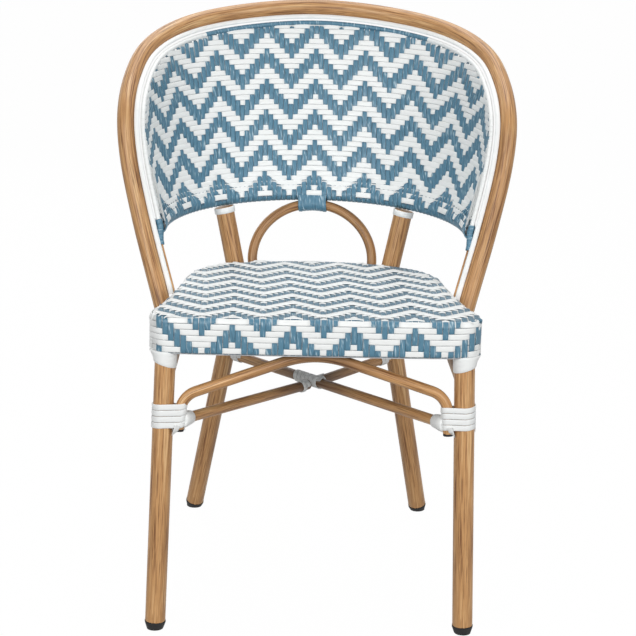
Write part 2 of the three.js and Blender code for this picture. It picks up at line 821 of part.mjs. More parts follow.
// The blue binding of the arch's crown to the rail
function archBindingGeometry() {
  const half = (binding.turns * binding.pitch) / 2;
  const archTurn = (x) => Math.acos(x / archHalfWidth) / Math.PI;
  return winding('arch_binding', {
    origin: v3(-half, 0, 0),
    axis: v3(1, 0, 0),
    centres: (along) => {
      const x = along - half;
      return [railPoint(Math.asin(x / levelWidth(rail.z))), archCurve.getPoint(archTurn(x))];
    },
    radii: [slimRadius + gap, slimRadius + gap],
    turns: binding.turns - 1,
    pitch: binding.pitch,
    width: binding.width,
  });
}

function centred(group) {
  const box = new THREE.Box3().setFromObject(group);
  group.position.y = -(box.min.y + box.max.y) / 2;
  return group;
}

add('back_hoop', hoopGeometry(), woodLook);
add('back_inner_rod', rodGeometry(rodRadius), woodLook);
add('hoop_piping', pipingGeometry(), whiteStrand);
add('back_rail', sweep(railPath(), slimRadius, railSides), woodLook);
add('back_arch', archGeometry(), woodLook);
add('back_panel', backPanelGeometry(), blueStrand);
add('seat_panel', seatPanelGeometry(), blueStrand);
add('seat_frame', seatFrameGeometry(), bareMetal);
add('seat_cross_rail_front', crossBarGeometry(crossBar.frontY), bareMetal);
add('seat_cross_rail_rear', crossBarGeometry(crossBar.rearY), bareMetal);
add('rear_cross_rail', cut(crossRail(slimRadius), rearLegCutter()), woodLook);
add('front_brace', braceGeometry(), woodLook);
add('stretcher_long', stretcherLongGeometry(), woodLook);
add('stretcher_short_front', shortFrontGeometry(), woodLook);
add('stretcher_short_rear', shortRearGeometry(), woodLook);
const { longStart: windStart, longTurns, shortStart, shortTurns } = centreLashing;
const longCoil = coil('lashing_centre_long', crossing, longStart, windStart, longTurns);
add('lashing_centre_long', longCoil, greyStrand);
add(
  'lashing_centre_short_front',
  coil('lashing_centre_short_front', shortCrossing, shortFrontStart, shortStart, shortTurns),
  greyStrand,
);
add(
  'lashing_centre_short_rear',
  coil('lashing_centre_short_rear', shortCrossing, shortRearEnd, shortStart, shortTurns),
  greyStrand,
);
add('arch_binding', archBindingGeometry(), blueStrand);
addPair('front_leg', frontLegGeometry(), woodLook);
addPair('rear_leg', rearLegGeometry(), woodLook);
addPair('hoop_lug', lugGeometry(), bareMetal);
addPair('lashing_front', frontLashingGeometry(), whiteStrand);
add('stretcher_sleeve_right', stretcherSleeve(longStart, crossing), whiteStrand);
add('stretcher_sleeve_left', stretcherSleeve(shortFrontStart, shortCrossing), whiteStrand);
addPair('leg_collar', legCollarGeometry(), whiteStrand);
addPair('post_collar', postCollarGeometry(), whiteStrand);
addPair('foot_front', footGeometry(frontFoot, frontTop), blackPlastic);
addPair('foot_rear', footGeometry(rearFoot, rearKnee), blackPlastic);
addPair('brace_plug', bracePlugGeometry(), blackPlastic);
add('lashing_rear_left', coil('lashing_rear_left', longRear, crossing, lashing.rearStart), whiteStrand);
const rearRightCoil = coil('lashing_rear_right', shortRearEnd, shortCrossing, lashing.rearStart);
add('lashing_rear_right', rearRightCoil, whiteStrand);

export default centred(chair);
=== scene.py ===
"""Rattan bistro chair: the woven back and seat, the wood-look tubes and their bindings, as an add-on."""

import math

import bmesh
import bpy
import numpy as np
from bpy.props import FloatProperty, FloatVectorProperty, IntProperty, PointerProperty
from mathutils import Matrix, Vector


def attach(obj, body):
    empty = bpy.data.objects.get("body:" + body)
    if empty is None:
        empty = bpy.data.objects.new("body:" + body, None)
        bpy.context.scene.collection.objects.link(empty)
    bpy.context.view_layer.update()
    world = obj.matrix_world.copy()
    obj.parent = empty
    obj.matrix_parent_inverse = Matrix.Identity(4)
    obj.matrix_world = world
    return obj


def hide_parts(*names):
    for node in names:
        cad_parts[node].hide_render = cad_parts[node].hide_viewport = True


bl_info = {
    "name": "Rattan bistro chair",
    "version": (1, 0, 0),
    "blender": (4, 5, 0),
    "location": "View3D > Sidebar > Bistro chair",
    "description": "Builds the woven back and seat, the wood-look tubes and the bindings of a bistro chair",
    "category": "Object",
}

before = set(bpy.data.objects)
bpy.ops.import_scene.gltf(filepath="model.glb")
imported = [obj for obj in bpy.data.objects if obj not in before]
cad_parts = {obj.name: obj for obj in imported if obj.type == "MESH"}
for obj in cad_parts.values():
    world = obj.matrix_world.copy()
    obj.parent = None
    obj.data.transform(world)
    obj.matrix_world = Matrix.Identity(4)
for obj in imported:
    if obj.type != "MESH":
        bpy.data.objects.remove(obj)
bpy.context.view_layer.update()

# Lengths below are in millimetres, with Y counted from the line of the front feet
FRONT_FEET_Y = -268.8
METRE = 0.001

# Radii of the tubes, and the gap and thickness of what is wound round them
LEG, HOOP, SLIM, ROD = 14.3, 12.7, 7.5, 2.5
GAP, TAPE = 0.3, 1.4

# Sizes of the frame
SEAT = {"half_width": 227.5, "front": -16.0, "rear": 371.0, "top": 455.5, "bottom": 402.0, "round": 8.0}
LEAN = math.radians(21.5)
LEAN_RUN = math.tan(LEAN)
RAIL = {"y": 428.6, "z": 549.0, "tilt": 0.085, "front": 8.95}
FRONT_TOP = np.array([204.6, 6.0, 402.0])
FRONT_FOOT = np.array([217.3, 0.0, 0.0])
FOOT_HEIGHT = 12
REAR_KNEE = np.array([114.5, 378.0, 409.0])
REAR_FOOT = np.array([189.4, 501.0, 0.0])
POST = {"x": 143.0, "bend": 90, "into_rail": 10.5}
CROSS_RAIL = {"half": 103.0, "y": SEAT["rear"] + GAP + SLIM, "z": 405}
BRACE_END = np.array([185.8, -0.5, 294.5])
BRACE_KNEE = np.array([182.06, 1.5, 340.0])
BRACE = {"slope": 19.6, "knee_bend": 32, "crown_bend": 135, "back": 7.5, "into_apron": 2.1, "right_up": 6.5}
ARCH = {"half": 94, "shift": -1.2, "foot": 91, "spring": 452.0}
HOOP_RUN = {"z": 368.0, "bend": 52, "clear": 0.8}
HOOP_BASE = np.array([0, 183.0, 436.0])
HOOP_SPAN = np.array([282.5, 358.0, 399.0])
FLIP = np.array([-1.0, 1.0, 1.0])

# Shares of the hoop's span, and of the seat's half width and length
HOOP_SHARES = [
    (0.795, 0, 0),
    (0.91, 0.112, 0.273),
    (0.9805, 0.176, 0.494),
    (1, 0.232, 0.637),
    (0.984, 0.405, 0.764),
    (0.918, 0.573, 0.86),
    (0.743, 0.771, 0.932),
    (0.442, 0.93, 0.977),
    (0, 1, 1),
]
SEAT_SHARES = [
    (0, 0),
    (0.45, 0.001),
    (0.8, 0.006),
    (0.93, 0.02),
    (0.985, 0.05),
    (1, 0.1),
    (0.962, 0.2),
    (0.919, 0.32),
    (0.893, 0.43),
    (0.866, 0.55),
    (0.839, 0.68),
    (0.788, 0.78),
    (0.704, 0.86),
    (0.586, 0.915),
    (0.41, 0.962),
    (0.196, 0.99),
    (0, 1),
]


def colour(code):
    """sRGB hex to linear RGB."""
    parts = [int(code[i : i + 2], 16) / 255 for i in (1, 3, 5)]
    return [p / 12.92 if p <= 0.04045 else ((p + 0.055) / 1.055) ** 2.4 for p in parts]


SHARE = {"min": 0.5, "max": 0.99, "subtype": "FACTOR"}
SWATCH = {"size": 3, "min": 0, "max": 1, "subtype": "COLOR"}


class ChairSizes(bpy.types.PropertyGroup):
    """Sizes of the strands and of the pattern they make."""

    strand_thick: FloatProperty(
        name="Strand thickness", description="Thickness of a woven strand", default=0.00125, unit="LENGTH"
    )
    weave_height: FloatProperty(
        name="Weave height", description="How far a strand rises and dips", default=0.0007, unit="LENGTH"
    )
    seat_crown: FloatProperty(
        name="Seat strand height", description="How far a white strand rises on the seat", default=0.0017, unit="LENGTH"
    )
    warp_share: FloatProperty(
        name="Blue strand width", description="Width of a blue strand as a share of its place", default=0.95, **SHARE
    )
    weft_share: FloatProperty(
        name="White strand width", description="Width of a white strand as a share of its place", default=0.98, **SHARE
    )
    tube_sides: IntProperty(name="Tube sides", description="Faces round a tube", default=36, min=12, max=64)


class ChairColours(bpy.types.PropertyGroup):
    """Colours of the finishes."""

    wood_light: FloatVectorProperty(
        name="Wood, light", description="Light streaks of the printed wood", default=colour("#E9BF8A"), **SWATCH
    )
    wood_middle: FloatVectorProperty(
        name="Wood, middle", description="Main colour of the printed wood", default=colour("#C99762"), **SWATCH
    )
    wood_dark: FloatVectorProperty(
        name="Wood, dark", description="Dark grain of the printed wood", default=colour("#7C5029"), **SWATCH
    )
    white: FloatVectorProperty(
        name="White strand", description="Colour of the strands across", default=colour("#F6F8F7"), **SWATCH
    )
    blue: FloatVectorProperty(
        name="Blue strand", description="Colour of the strands lengthwise", default=colour("#54829A"), **SWATCH
    )
    # painted highlight: the colour of the light streaks painted on the blue strands
    blue_highlight: FloatVectorProperty(
        name="Blue strand, light", description="Light streaks in the blue", default=colour("#B9D0DB"), **SWATCH
    )


# Curves
SPLINE_STEPS, BEND_STEPS, LONG_STEP, LEG_STEP = 60, 14, 12, 14


def unit(vectors):
    vectors = np.asarray(vectors, float)
    return vectors / np.maximum(np.linalg.norm(vectors, axis=-1, keepdims=True), 1e-12)


def spline(knots, closed=False):
    """Smooth curve through knots, its pace set by the square roots of their distances."""
    knots = np.asarray(knots, float)
    if closed:
        knots = np.vstack([knots[-1:], knots, knots[:2]])
    else:
        knots = np.vstack([2 * knots[0] - knots[1], knots, 2 * knots[-1] - knots[-2]])
    runs = []
    t = np.linspace(0, 1, SPLINE_STEPS, endpoint=False)[:, None]
    for a, b, c, d in zip(knots, knots[1:], knots[2:], knots[3:]):
        ab, bc, cd = (np.sum((q - p) ** 2) ** 0.25 for p, q in ((a, b), (b, c), (c, d)))
        leave = ((b - a) / ab - (c - a) / (ab + bc) + (c - b) / bc) * bc
        reach = ((c - b) / bc - (d - b) / (bc + cd) + (d - c) / cd) * bc
        runs.append(b + leave * t + (3 * (c - b) - 2 * leave - reach) * t**2 + (2 * (b - c) + leave + reach) * t**3)
    return np.vstack(runs + [knots[-2:-1]])


def lengths(points):
    return np.concatenate([[0], np.cumsum(np.linalg.norm(np.diff(points, axis=0), axis=1))])


def even(points, count):
    """The same line with its points at even distances."""
    along = lengths(points)
    return at_length(points, along, np.linspace(0, along[-1], count))


def at_length(points, along, wanted):
    return np.stack([np.interp(wanted, along, points[:, k]) for k in range(points.shape[1])], -1)


def bent(corners, radii):
    """Straight runs joined by round bends."""
    corners = [np.asarray(c, float) for c in corners]
    line = [corners[0]]
    for before, corner, after, radius in zip(corners, corners[1:], corners[2:], radii):
        to, on = unit(corner - before), unit(after - corner)
        angle = math.acos(np.clip(to @ on, -1, 1))
        start = corner - to * radius * math.tan(angle / 2)
        side = unit(on - to * (on @ to))
        for turn in np.linspace(0, angle, BEND_STEPS):
            line.append(start + to * radius * math.sin(turn) + side * radius * (1 - math.cos(turn)))
    return np.array(line + [corners[-1]])


def refined(points, step):
    """Extra points on long straight runs, and extra values for what their columns after the third hold."""
    out = [points[:1]]
    for a, b in zip(points, points[1:]):
        count = max(1, int(np.linalg.norm((b - a)[:3]) // step))
        out.append(a + (b - a) * np.linspace(0, 1, count + 1)[1:, None])
    return np.vstack(out)


def on_line(low, high, z):
    """Where the line through two points reaches one level or more."""
    share = (np.asarray(z, float) - low[2]) / (high[2] - low[2])
    return low + (high - low) * share[..., None]


# Meshes
def place(points):
    """Millimetres from the front feet to metres in the frame of the CAD."""
    return (np.asarray(points, float) + [0, FRONT_FEET_Y, 0]) * METRE


def laid(name, sheets, kind, node):
    """One piece from grids that are laid on sheets of points.

    A sheet is (points[i][j] in millimetres, uv[i][j] in millimetres), and uv may have a third value, 0 to 1, the
    painted shade on it: for a woven strand it follows how high the strand lies, and for a tube how far it stands in
    the shade of the seat. The last column of a sheet is its first again, and its two ends are capped.
    """
    bm = bmesh.new()
    for k, (points, _) in enumerate(sheets):
        rows, columns = points.shape[:2]
        spread = Matrix.Diagonal((rows - 1, columns - 1, 1, 1))
        shift = Matrix.Translation(((rows - 1) / 2, (columns - 1) / 2, k))
        bmesh.ops.create_grid(bm, x_segments=rows - 1, y_segments=columns - 1, size=0.5, matrix=shift @ spread)
    mesh = bpy.data.meshes.new(name)
    bm.to_mesh(mesh)
    bm.free()
    keys = np.empty(len(mesh.vertices) * 3, np.float32)
    mesh.vertices.foreach_get("co", keys)
    i, j, k = np.rint(keys.reshape(-1, 3)).astype(int).T
    starts = np.cumsum([0] + [p.shape[0] * p.shape[1] for p, _ in sheets])
    widths = np.array([p.shape[1] for p, _ in sheets])
    index = starts[k] + i * widths[k] + j
    everywhere = place(np.vstack([p.reshape(-1, 3) for p, _ in sheets]))
    flat = np.vstack([uv[..., :2].reshape(-1, 2) for _, uv in sheets]) * METRE
    # rise is the painted shade of each point, 1 for none and lower for darker; the point attribute below keeps it
    rise = [uv[..., 2].ravel() if uv.shape[-1] > 2 else np.ones(uv[..., 0].size) for _, uv in sheets]
    mesh.vertices.foreach_set("co", everywhere[index].astype(np.float32).ravel())
    corners = np.empty(len(mesh.loops), np.int32)
    mesh.loops.foreach_get("vertex_index", corners)
    layer = mesh.uv_layers.new(name="Surface")
    layer.data.foreach_set("uv", flat[index[corners]].astype(np.float32).ravel())
    height = mesh.attributes.new("PaintedLight", "FLOAT", "POINT")
    height.data.foreach_set("value", np.concatenate(rise)[index].astype(np.float32))
    bm = bmesh.new()
    bm.from_mesh(mesh)
    bmesh.ops.remove_doubles(bm, verts=bm.verts, dist=1e-6)
    rims = [edge for edge in bm.edges if edge.is_boundary]
    bmesh.ops.holes_fill(bm, edges=rims, sides=0)
    for edge in rims:
        edge.smooth = False
    bmesh.ops.recalc_face_normals(bm, faces=bm.faces)
    for face in bm.faces:
        face.smooth = True
    bm.to_mesh(mesh)
    bm.free()
    finish(name, mesh, kind, node)


def finish(name, mesh, kind, node):
    """Links a piece, gives it its material, and lets it ride on the chair in place of its CAD node."""
    piece = bpy.data.objects.new(name, mesh)
    bpy.context.scene.collection.objects.link(piece)
    mesh.materials.append(finish_of(kind))
    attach(piece, "root")
    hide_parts(node)


def frames(path):
    """Two directions across a line that turn as little as they can."""
    ahead = unit(np.gradient(path, axis=0))
    across = [unit(np.cross(ahead[0], [0, 0, 1.0] if abs(ahead[0][2]) < 0.9 else [0, 1.0, 0]))]
    for direction in ahead[1:]:
        across.append(unit(across[-1] - direction * (across[-1] @ direction)))
    across = np.array(across)
    return across, np.cross(ahead, across)


def tube_sheet(path, radius, sides):
    across, up = frames(path)
    turn = np.linspace(0, 2 * math.pi, sides + 1)
    ring = across[:, None] * np.cos(turn)[None, :, None] + up[:, None] * np.sin(turn)[None, :, None]
    points = path[:, None] + ring * radius
    points[:, -1] = points[:, 0]
    return points, np.stack(np.broadcast_arrays(lengths(path)[:, None], turn[None] * radius), -1)


def tube(name, path, radius, node, sides=None, painted_lightness=1.0):
    """A round tube along a line, with painted shade on its print: 1 leaves the print as it is, and less paints it
    darker.
    """
    points, uv = tube_sheet(path, radius, sides or bpy.context.scene.chair_sizes.tube_sides)
    painted_lightness = np.broadcast_to(np.reshape(painted_lightness, (-1, 1)), uv.shape[:2])
    laid(name, [(points, np.dstack([uv, painted_lightness]))], "wood", node)


# Section of a flat strand, as shares of its width and of its thickness: a slightly crowned face and a flat one
SECTION_WIDTH = np.array([-0.5, -0.46, -0.28, 0.28, 0.46, 0.5, 0.3, -0.3, -0.5])
SECTION_HEIGHT = np.array([-0.1, 0.34, 0.5, 0.5, 0.34, -0.1, -0.5, -0.5, -0.1])
# How far the print on a strand is shifted along it and across it from one strand to the next
SEED_ALONG, SEED_ACROSS = 173.0, 31.0


def strip_sheet(points, normals, width, thick, seed=0.0, rise=1.0):
    """A flat strand along points, its crowned face along normals. Its rise, 0 to 1, is how high it lies in a weave,
    and it sets the painted shade on the strand: the lower, the darker.
    """
    ahead = unit(np.gradient(points, axis=0))
    across = unit(np.cross(ahead, normals))
    out = np.cross(across, ahead)
    width = np.broadcast_to(width, len(points))[:, None] * SECTION_WIDTH
    sheet = points[:, None] + across[:, None] * width[..., None] + out[:, None] * SECTION_HEIGHT[:, None] * thick
    sheet[:, -1] = sheet[:, 0]
    along = lengths(points)[:, None] + seed * SEED_ALONG
    rise = np.broadcast_to(rise, len(points))[:, None]
    return sheet, np.stack(np.broadcast_arrays(along, width + seed * SEED_ACROSS, rise), -1)


def joined(parts, width, thick, seed):
    """One strand from its parts in turn, each with its places, its normals and the painted shade on it."""
    points, normals, rise = (np.concatenate(values) for values in zip(*parts))
    return strip_sheet(points, normals, width, thick, seed, rise)


# Shape of the back
HOOP_KNOTS = list(HOOP_BASE + HOOP_SPAN * np.array(HOOP_SHARES))
HOOP_LINE = even(spline(HOOP_KNOTS + [p * FLIP for p in HOOP_KNOTS[-2::-1]]), 1601)
FACING = np.array([0, -math.cos(LEAN), math.sin(LEAN)])
HOOP_AHEAD = unit(np.gradient(HOOP_LINE, axis=0))
HOOP_INWARD = unit(np.cross(FACING, HOOP_AHEAD))

# The rod's distance inside the hoop, where it widens, and how the panel still widens above its sides
ROD_ROOM = {"below": 20.5, "more": 5.0, "from": 505, "to": 530, "edge": 2.8}
SIDE_LEVEL = HOOP_BASE[2] + 0.62 * HOOP_SPAN[2]
WIDER, DEEPER = 0.09, 0.11


def smoothstep(value, low, high):
    share = np.clip((value - low) / (high - low), 0, 1)
    return share * share * (3 - 2 * share)


def beside_hoop(extra):
    """A line inside the hoop that keeps the rod's distance from it and a little more."""
    room = ROD_ROOM["below"] + ROD_ROOM["more"] * smoothstep(HOOP_LINE[:, 2], ROD_ROOM["from"], ROD_ROOM["to"]) + extra
    return HOOP_LINE + HOOP_INWARD * room[:, None]


ROD_LINE = beside_hoop(0)
HALF_ROD = ROD_LINE[:801]
HALF_EDGE = beside_hoop(ROD_ROOM["edge"])[:801]


def centre_y(z):
    return RAIL["y"] + (z - RAIL["z"]) * LEAN_RUN


def half_width(z):
    low = np.minimum(z, SIDE_LEVEL)
    return np.interp(low, HALF_ROD[:, 2], HALF_ROD[:, 0]) + (z - low) * WIDER


def depth(z):
    low = np.minimum(z, SIDE_LEVEL)
    return centre_y(low) - np.interp(low, HALF_ROD[:, 2], HALF_ROD[:, 1]) + (z - low) * DEEPER


def level_point(angle, z):
    angle, z = np.broadcast_arrays(angle, z)
    return np.stack([half_width(z) * np.sin(angle), centre_y(z) - depth(z) * (1 - np.cos(angle)), z], -1)


def angle_of(points):
    z = points[..., 2]
    return np.arctan2(points[..., 0] / half_width(z), (points[..., 1] - centre_y(z)) / depth(z) + 1)


EDGE_ANGLES = np.maximum.accumulate(angle_of(HALF_EDGE)[::-1] + np.arange(len(HALF_EDGE)) * 1e-9)


def on_edge(angle, line=HALF_EDGE):
    """Point of the panel's edge, or of the rod beside it, at an angle round the back."""
    turn = np.abs(angle)
    point = np.stack([np.interp(turn, EDGE_ANGLES, line[::-1, k]) for k in range(3)], -1)
    point[..., 0] *= np.where(np.asarray(angle) < 0, -1, 1)
    return point


def rail_level(angle):
    return RAIL["z"] - RAIL["tilt"] * depth(RAIL["z"]) * (1 - np.cos(angle))


def rail_point(angle):
    return level_point(angle, rail_level(angle))


def back_point(angle, z):
    """The middle surface of the woven back."""
    angle, z = np.broadcast_arrays(np.asarray(angle, float), np.asarray(z, float))
    edge = on_edge(angle)
    share = np.maximum(0, (z - rail_level(angle)) / (edge[..., 2] - rail_level(angle)))
    return level_point(angle, z) + (edge - level_point(angle, edge[..., 2])) * (share * share)[..., None]


def back_normal(angle, z):
    across = back_point(angle + 1e-3, z) - back_point(angle - 1e-3, z)
    up = back_point(angle, z + 0.1) - back_point(angle, z - 0.1)
    return unit(np.cross(across, up))


# How the strands of the back are spread: degrees round it per column, and their growth towards the sides
SPREAD_Z = [545, 595, 641, 689, 735, 780]
SPREAD = [2.03, 1.87, 1.805, 1.76, 1.72, 1.71]
SPREAD_GROWTH = [0, 0.01, 0.015, 0.04, 0.12, 0.17]
# Its rows: the level of the first one in the middle, their pitch, and how far they hang down towards the sides
ROWS = {"zero": 550.0, "pitch": 7.75, "hang": 8.5, "columns": 35, "most": 1.3, "power": 2.6, "over_rail": 32}
BACK_COLUMNS, BACK_ROWS, FINE = 52, 39, 0.05
WARP_MOST, WEFT_MOST = 8.2, 10.2
# How far an end goes in behind the weave, and how a strand lies in its cells: where it bends and how high its ends are
TUCK, HALF_CELL, FLOAT_END = 2.2, 0.32, 0.45


def column_angle(column, z):
    growth = np.interp(z, SPREAD_Z, SPREAD_GROWTH)
    return np.radians(column * np.interp(z, SPREAD_Z, SPREAD) * (1 + growth * (column / 30) ** 2))


def weave_point(column, row):
    """Point, normal and angle of a place in the back's weave. Row 0 lies over the front of the rail."""
    column, row = np.broadcast_arrays(np.asarray(column, float), np.asarray(row, float))
    hang = ROWS["hang"] * np.minimum(np.abs(column) / ROWS["columns"], ROWS["most"]) ** ROWS["power"]
    z = ROWS["zero"] + ROWS["pitch"] * row - hang
    angle = column_angle(column, z)
    normal = back_normal(angle, z)
    lift = RAIL["front"] * (1 - smoothstep(z - rail_level(angle), 0, ROWS["over_rail"]))
    return back_point(angle, z) + normal * lift[..., None], normal, angle


def rises(column, row):
    """Whether the lengthwise strand lies over the crosswise one: a zigzag twill, three over and three under."""
    return (5 - np.asarray(row) + np.abs(np.asarray(column) % 10 - 5)) % 6 < 3


def bowed(cells, over):
    """Height, -1 to 1, of a strand at places in cells of the weave: full in a float and less at its two ends."""
    number = np.rint(cells).astype(int)
    signs = dict(zip(number.tolist(), np.where(over, 1.0, -1.0)))
    heights = []
    for cell, whole in zip(cells, number):
        own = signs[int(whole)]
        away = cell - whole
        beside = signs.get(int(whole) + (1 if away > 0 else -1), own)
        heights.append(own * (1.0 if beside == own or abs(away) < 0.1 else FLOAT_END))
    return np.array(heights)


def shade_of(heights):
    """How light a strand looks by its height: ends of floats lie in the shade of their neighbours."""
    return np.clip(0.5 + 0.5 * heights, 0, 1)


def limits(line, inside):
    """First and last place of a line that lie inside."""
    hits = np.nonzero(inside)[0]
    return line[hits[0]], line[hits[-1]]


def stations(low, high, over_at):
    """Two places in each cell of the weave between two limits, and a third where the strand rises for one cell."""
    places = []
    for cell in range(math.ceil(low - 0.5), math.floor(high + 0.5) + 1):
        before, own, after = (bool(over_at(cell + step)) for step in (-1, 0, 1))
        middle = [cell] if own != before and own != after else []
        places += [cell - HALF_CELL, *middle, cell + HALF_CELL]
    places = np.array(places, float)
    return places[(places > low + 0.15) & (places < high - 0.15)]


def apart(column, row, step):
    """How far apart the strands on the two sides of a place lie."""
    after, before = (weave_point(column + side * step[0], row + side * step[1])[0] for side in (0.5, -0.5))
    return np.linalg.norm(after - before, axis=1)


def tucked(column, row):
    """The end of a strand that goes in behind the rod's winding."""
    last, normal, angle = weave_point(column, row)
    inward = (on_edge(angle, HALF_ROD) - last) * 0.5
    return (last + inward - normal * TUCK)[None], normal[None]


def round_rail(column, height):
    """The lower end of a lengthwise strand: down over the rail's front, under it and up behind the weave."""
    _, normal, angle = weave_point(column, 0)
    rail = rail_point(angle)
    up = unit(back_point(angle, rail_level(angle) + 1) - back_point(angle, rail_level(angle) - 1))
    front = unit(normal - up * (normal @ up))
    turns = np.radians([205, 180, 150, 120, 90, 60, 35])[:, None]
    out = front * np.cos(turns) - up * np.sin(turns)
    tail = rail - front * 4.8 + up * 15
    return np.vstack([tail, rail + out * (RAIL["front"] - height)]), np.vstack([-front, out])


def back_lengthwise(height, thick, share):
    """Sheets of the back's blue strands."""
    sheets = []
    fine = np.arange(0, BACK_ROWS - 0.5, FINE)
    for column in range(-BACK_COLUMNS, BACK_COLUMNS + 1):
        points, _, angle = weave_point(column, fine)
        inside = points[:, 2] < on_edge(angle)[:, 2]
        if inside.sum() < 30:
            continue
        low, top = limits(fine, inside)
        places = stations(-0.5 if low == 0 else low, top, lambda row, c=column: rises(c, row))
        at, normal, _ = weave_point(column, places)
        lift = bowed(places, rises(column, np.rint(places).astype(int)))
        line = at + normal * (lift * height)[:, None]
        foot = round_rail(column, height) if low == 0 else (line[:1] - normal[:1] * TUCK, normal[:1])
        # the end tucked behind the winding gets painted shade, 0.2
        parts = [(*foot, np.ones(len(foot[0]))), (line, normal, shade_of(lift)), (*tucked(column, top), [0.2])]
        width = np.minimum(WARP_MOST, apart(column, places, (1, 0)) * share)
        sheets.append(joined(parts, np.pad(width, (len(foot[0]), 1), mode="edge"), thick, column))
    return sheets


def back_crosswise(height, thick, share):
    """Sheets of the back's white strands."""
    sheets = []
    fine = np.arange(-60, 60, FINE)
    for row in range(BACK_ROWS):
        points, _, angle = weave_point(fine, row)
        inside = (points[:, 2] < on_edge(angle)[:, 2]) & (np.abs(angle) < math.radians(89.5))
        if inside.sum() < 40:
            continue
        low, high = limits(fine, inside)
        places = stations(low, high, lambda column, r=row: not rises(column, r))
        at, normal, _ = weave_point(places, row)
        lift = bowed(places, ~rises(np.rint(places).astype(int), row))
        line = at + normal * (lift * height)[:, None]
        # both ends tucked behind the winding get painted shade, 0.5
        parts = [(*tucked(low, row), [0.5]), (line, normal, shade_of(lift)), (*tucked(high, row), [0.5])]
        width = np.minimum(WEFT_MOST, apart(places, row, (0, 1)) * share)
        sheets.append(joined(parts, np.pad(width, 1, mode="edge"), thick, row))
    return sheets


# The winding that covers the rod: blue below the panel's corners, white beside it and blue again over the crown
WOUND = {"blue_from": 511.0, "white_from": 541.0, "crown_half": 178.0, "crown_from": 700.0, "pitch": 7.4, "thick": 0.7}
WOUND_ROOM, CORNER_ROOM = 0.8, 2.2


def rod_windings():
    """Turns of strand side by side along the rod, white ones and blue ones."""
    along = lengths(ROD_LINE)
    start = along[np.argmax(ROD_LINE[:, 2] > WOUND["blue_from"])]
    places = np.linspace(start, along[-1] - start, int((along[-1] - 2 * start) / WOUND["pitch"]))
    travels = unit(at_length(unit(np.gradient(ROD_LINE, axis=0)), along, places))
    turn = np.radians(np.arange(-200, 181, 30))[:, None]
    white, blue = [], []
    for number, (centre, travel) in enumerate(zip(at_length(ROD_LINE, along, places), travels)):
        side = unit(np.cross(travel, FACING))
        out = side * np.sin(turn) + np.cross(side, travel) * np.cos(turn)
        corner = centre[2] < WOUND["white_from"]
        crown = abs(centre[0]) < WOUND["crown_half"] and centre[2] > WOUND["crown_from"]
        line = centre + out * (ROD + (CORNER_ROOM if corner else WOUND_ROOM))
        ring = strip_sheet(line, out, WOUND["pitch"] * 1.06, WOUND["thick"], number)
        (blue if crown or corner else white).append(ring)
    return white, blue


def piping_sheet():
    """The flat strip that lies in the groove between the hoop and the rod."""
    line, inward = HOOP_LINE[::8], HOOP_INWARD[::8]
    forward = unit(np.cross(HOOP_AHEAD[::8], inward))
    half, ahead, thick = 3.8, 4.8, 2.0
    reach = math.sqrt((HOOP + GAP) ** 2 - (ahead - thick) ** 2) + half
    centre = line + inward * reach + forward * ahead
    turn = np.linspace(0, 2 * math.pi, 21)[:, None]
    points = centre[:, None] + inward[:, None] * half * np.cos(turn) + forward[:, None] * thick * np.sin(turn)
    points[:, -1] = points[:, 0]
    return points, np.stack(np.broadcast_arrays(lengths(centre)[:, None], turn.T * 3.0), -1)


# Shape of the seat
SEAT_LENGTH = SEAT["rear"] - SEAT["front"]
SEAT_KNOTS = [np.array([x * SEAT["half_width"], SEAT["front"] + y * SEAT_LENGTH, 0]) for x, y in SEAT_SHARES]
SEAT_LINE = even(spline(SEAT_KNOTS + [p * FLIP for p in SEAT_KNOTS[-2:0:-1]], closed=True), 2401)
SEAT_OUTWARD = unit(np.cross(unit(np.gradient(SEAT_LINE, axis=0)), [0, 0, 1.0]))
SEAT_ALONG = lengths(SEAT_LINE)
SEAT_HALF = SEAT_LINE[:1201]
SEAT_COLUMN, SEAT_SHIFT, TOP_ROWS = 8.25, 10.2, 50
APRON_ROWS, APRON_LOW, APRON_PITCH = 6, 409.4, 8.2
STRAND_INSET = 1.3
EDGE_ROUND = SEAT["round"] - STRAND_INSET
TOP = SEAT["top"] - STRAND_INSET
RIM, REAR_RIM = 5.5, 8.3
LEVELS = np.ravel([[level + HALF_CELL, level - HALF_CELL] for level in range(APRON_ROWS - 1, -1, -1)])

# Where the rows of the seat's top lie, in rows and millimetres, and how they turn and shift towards the rear
ROW_NUMBERS = [0, 6, 12, 18, 24, 30, 36, 50]
ROW_PLACES = [-6, 39.4, 84.1, 128.2, 171, 214, 257, 358]
ROW_TILT = [0.07, 0.19, 0.2, 0.2, 0.25, 0.28, 0.28, 0.28]
SHIFT_PLACES = [-16, 40, 84, 128, 172, 213, 255, 301, 371]
SHIFTS = [10.2, 9.7, 9.9, 8.9, 7.2, 4.9, 1.0, -1.0, -3.0]


def seat_x(column, y):
    """Place of a lengthwise strand. The last ones before the right corner stand further apart."""
    corner = np.clip(1.2 * (np.asarray(column) - 21), 0, 4.8)
    return np.interp(y, SHIFT_PLACES, SHIFTS) + SEAT_COLUMN * column + corner


def seat_y(column, row):
    """Place of a crosswise strand."""
    return np.interp(row, ROW_NUMBERS, ROW_PLACES) + np.interp(row, ROW_NUMBERS, ROW_TILT) * column


def seat_half(y):
    """Half of the seat's width."""
    return np.interp(y, SEAT_HALF[:, 1], SEAT_HALF[:, 0])


def seat_rises(column, row):
    """As in the back, but the zigzag runs straight on at the left edge."""
    column = np.asarray(column)
    fold = np.where(column < -25, -20 - column, np.abs((column + 5) % 10 - 5))
    return (np.asarray(row) + fold) % 6 < 3


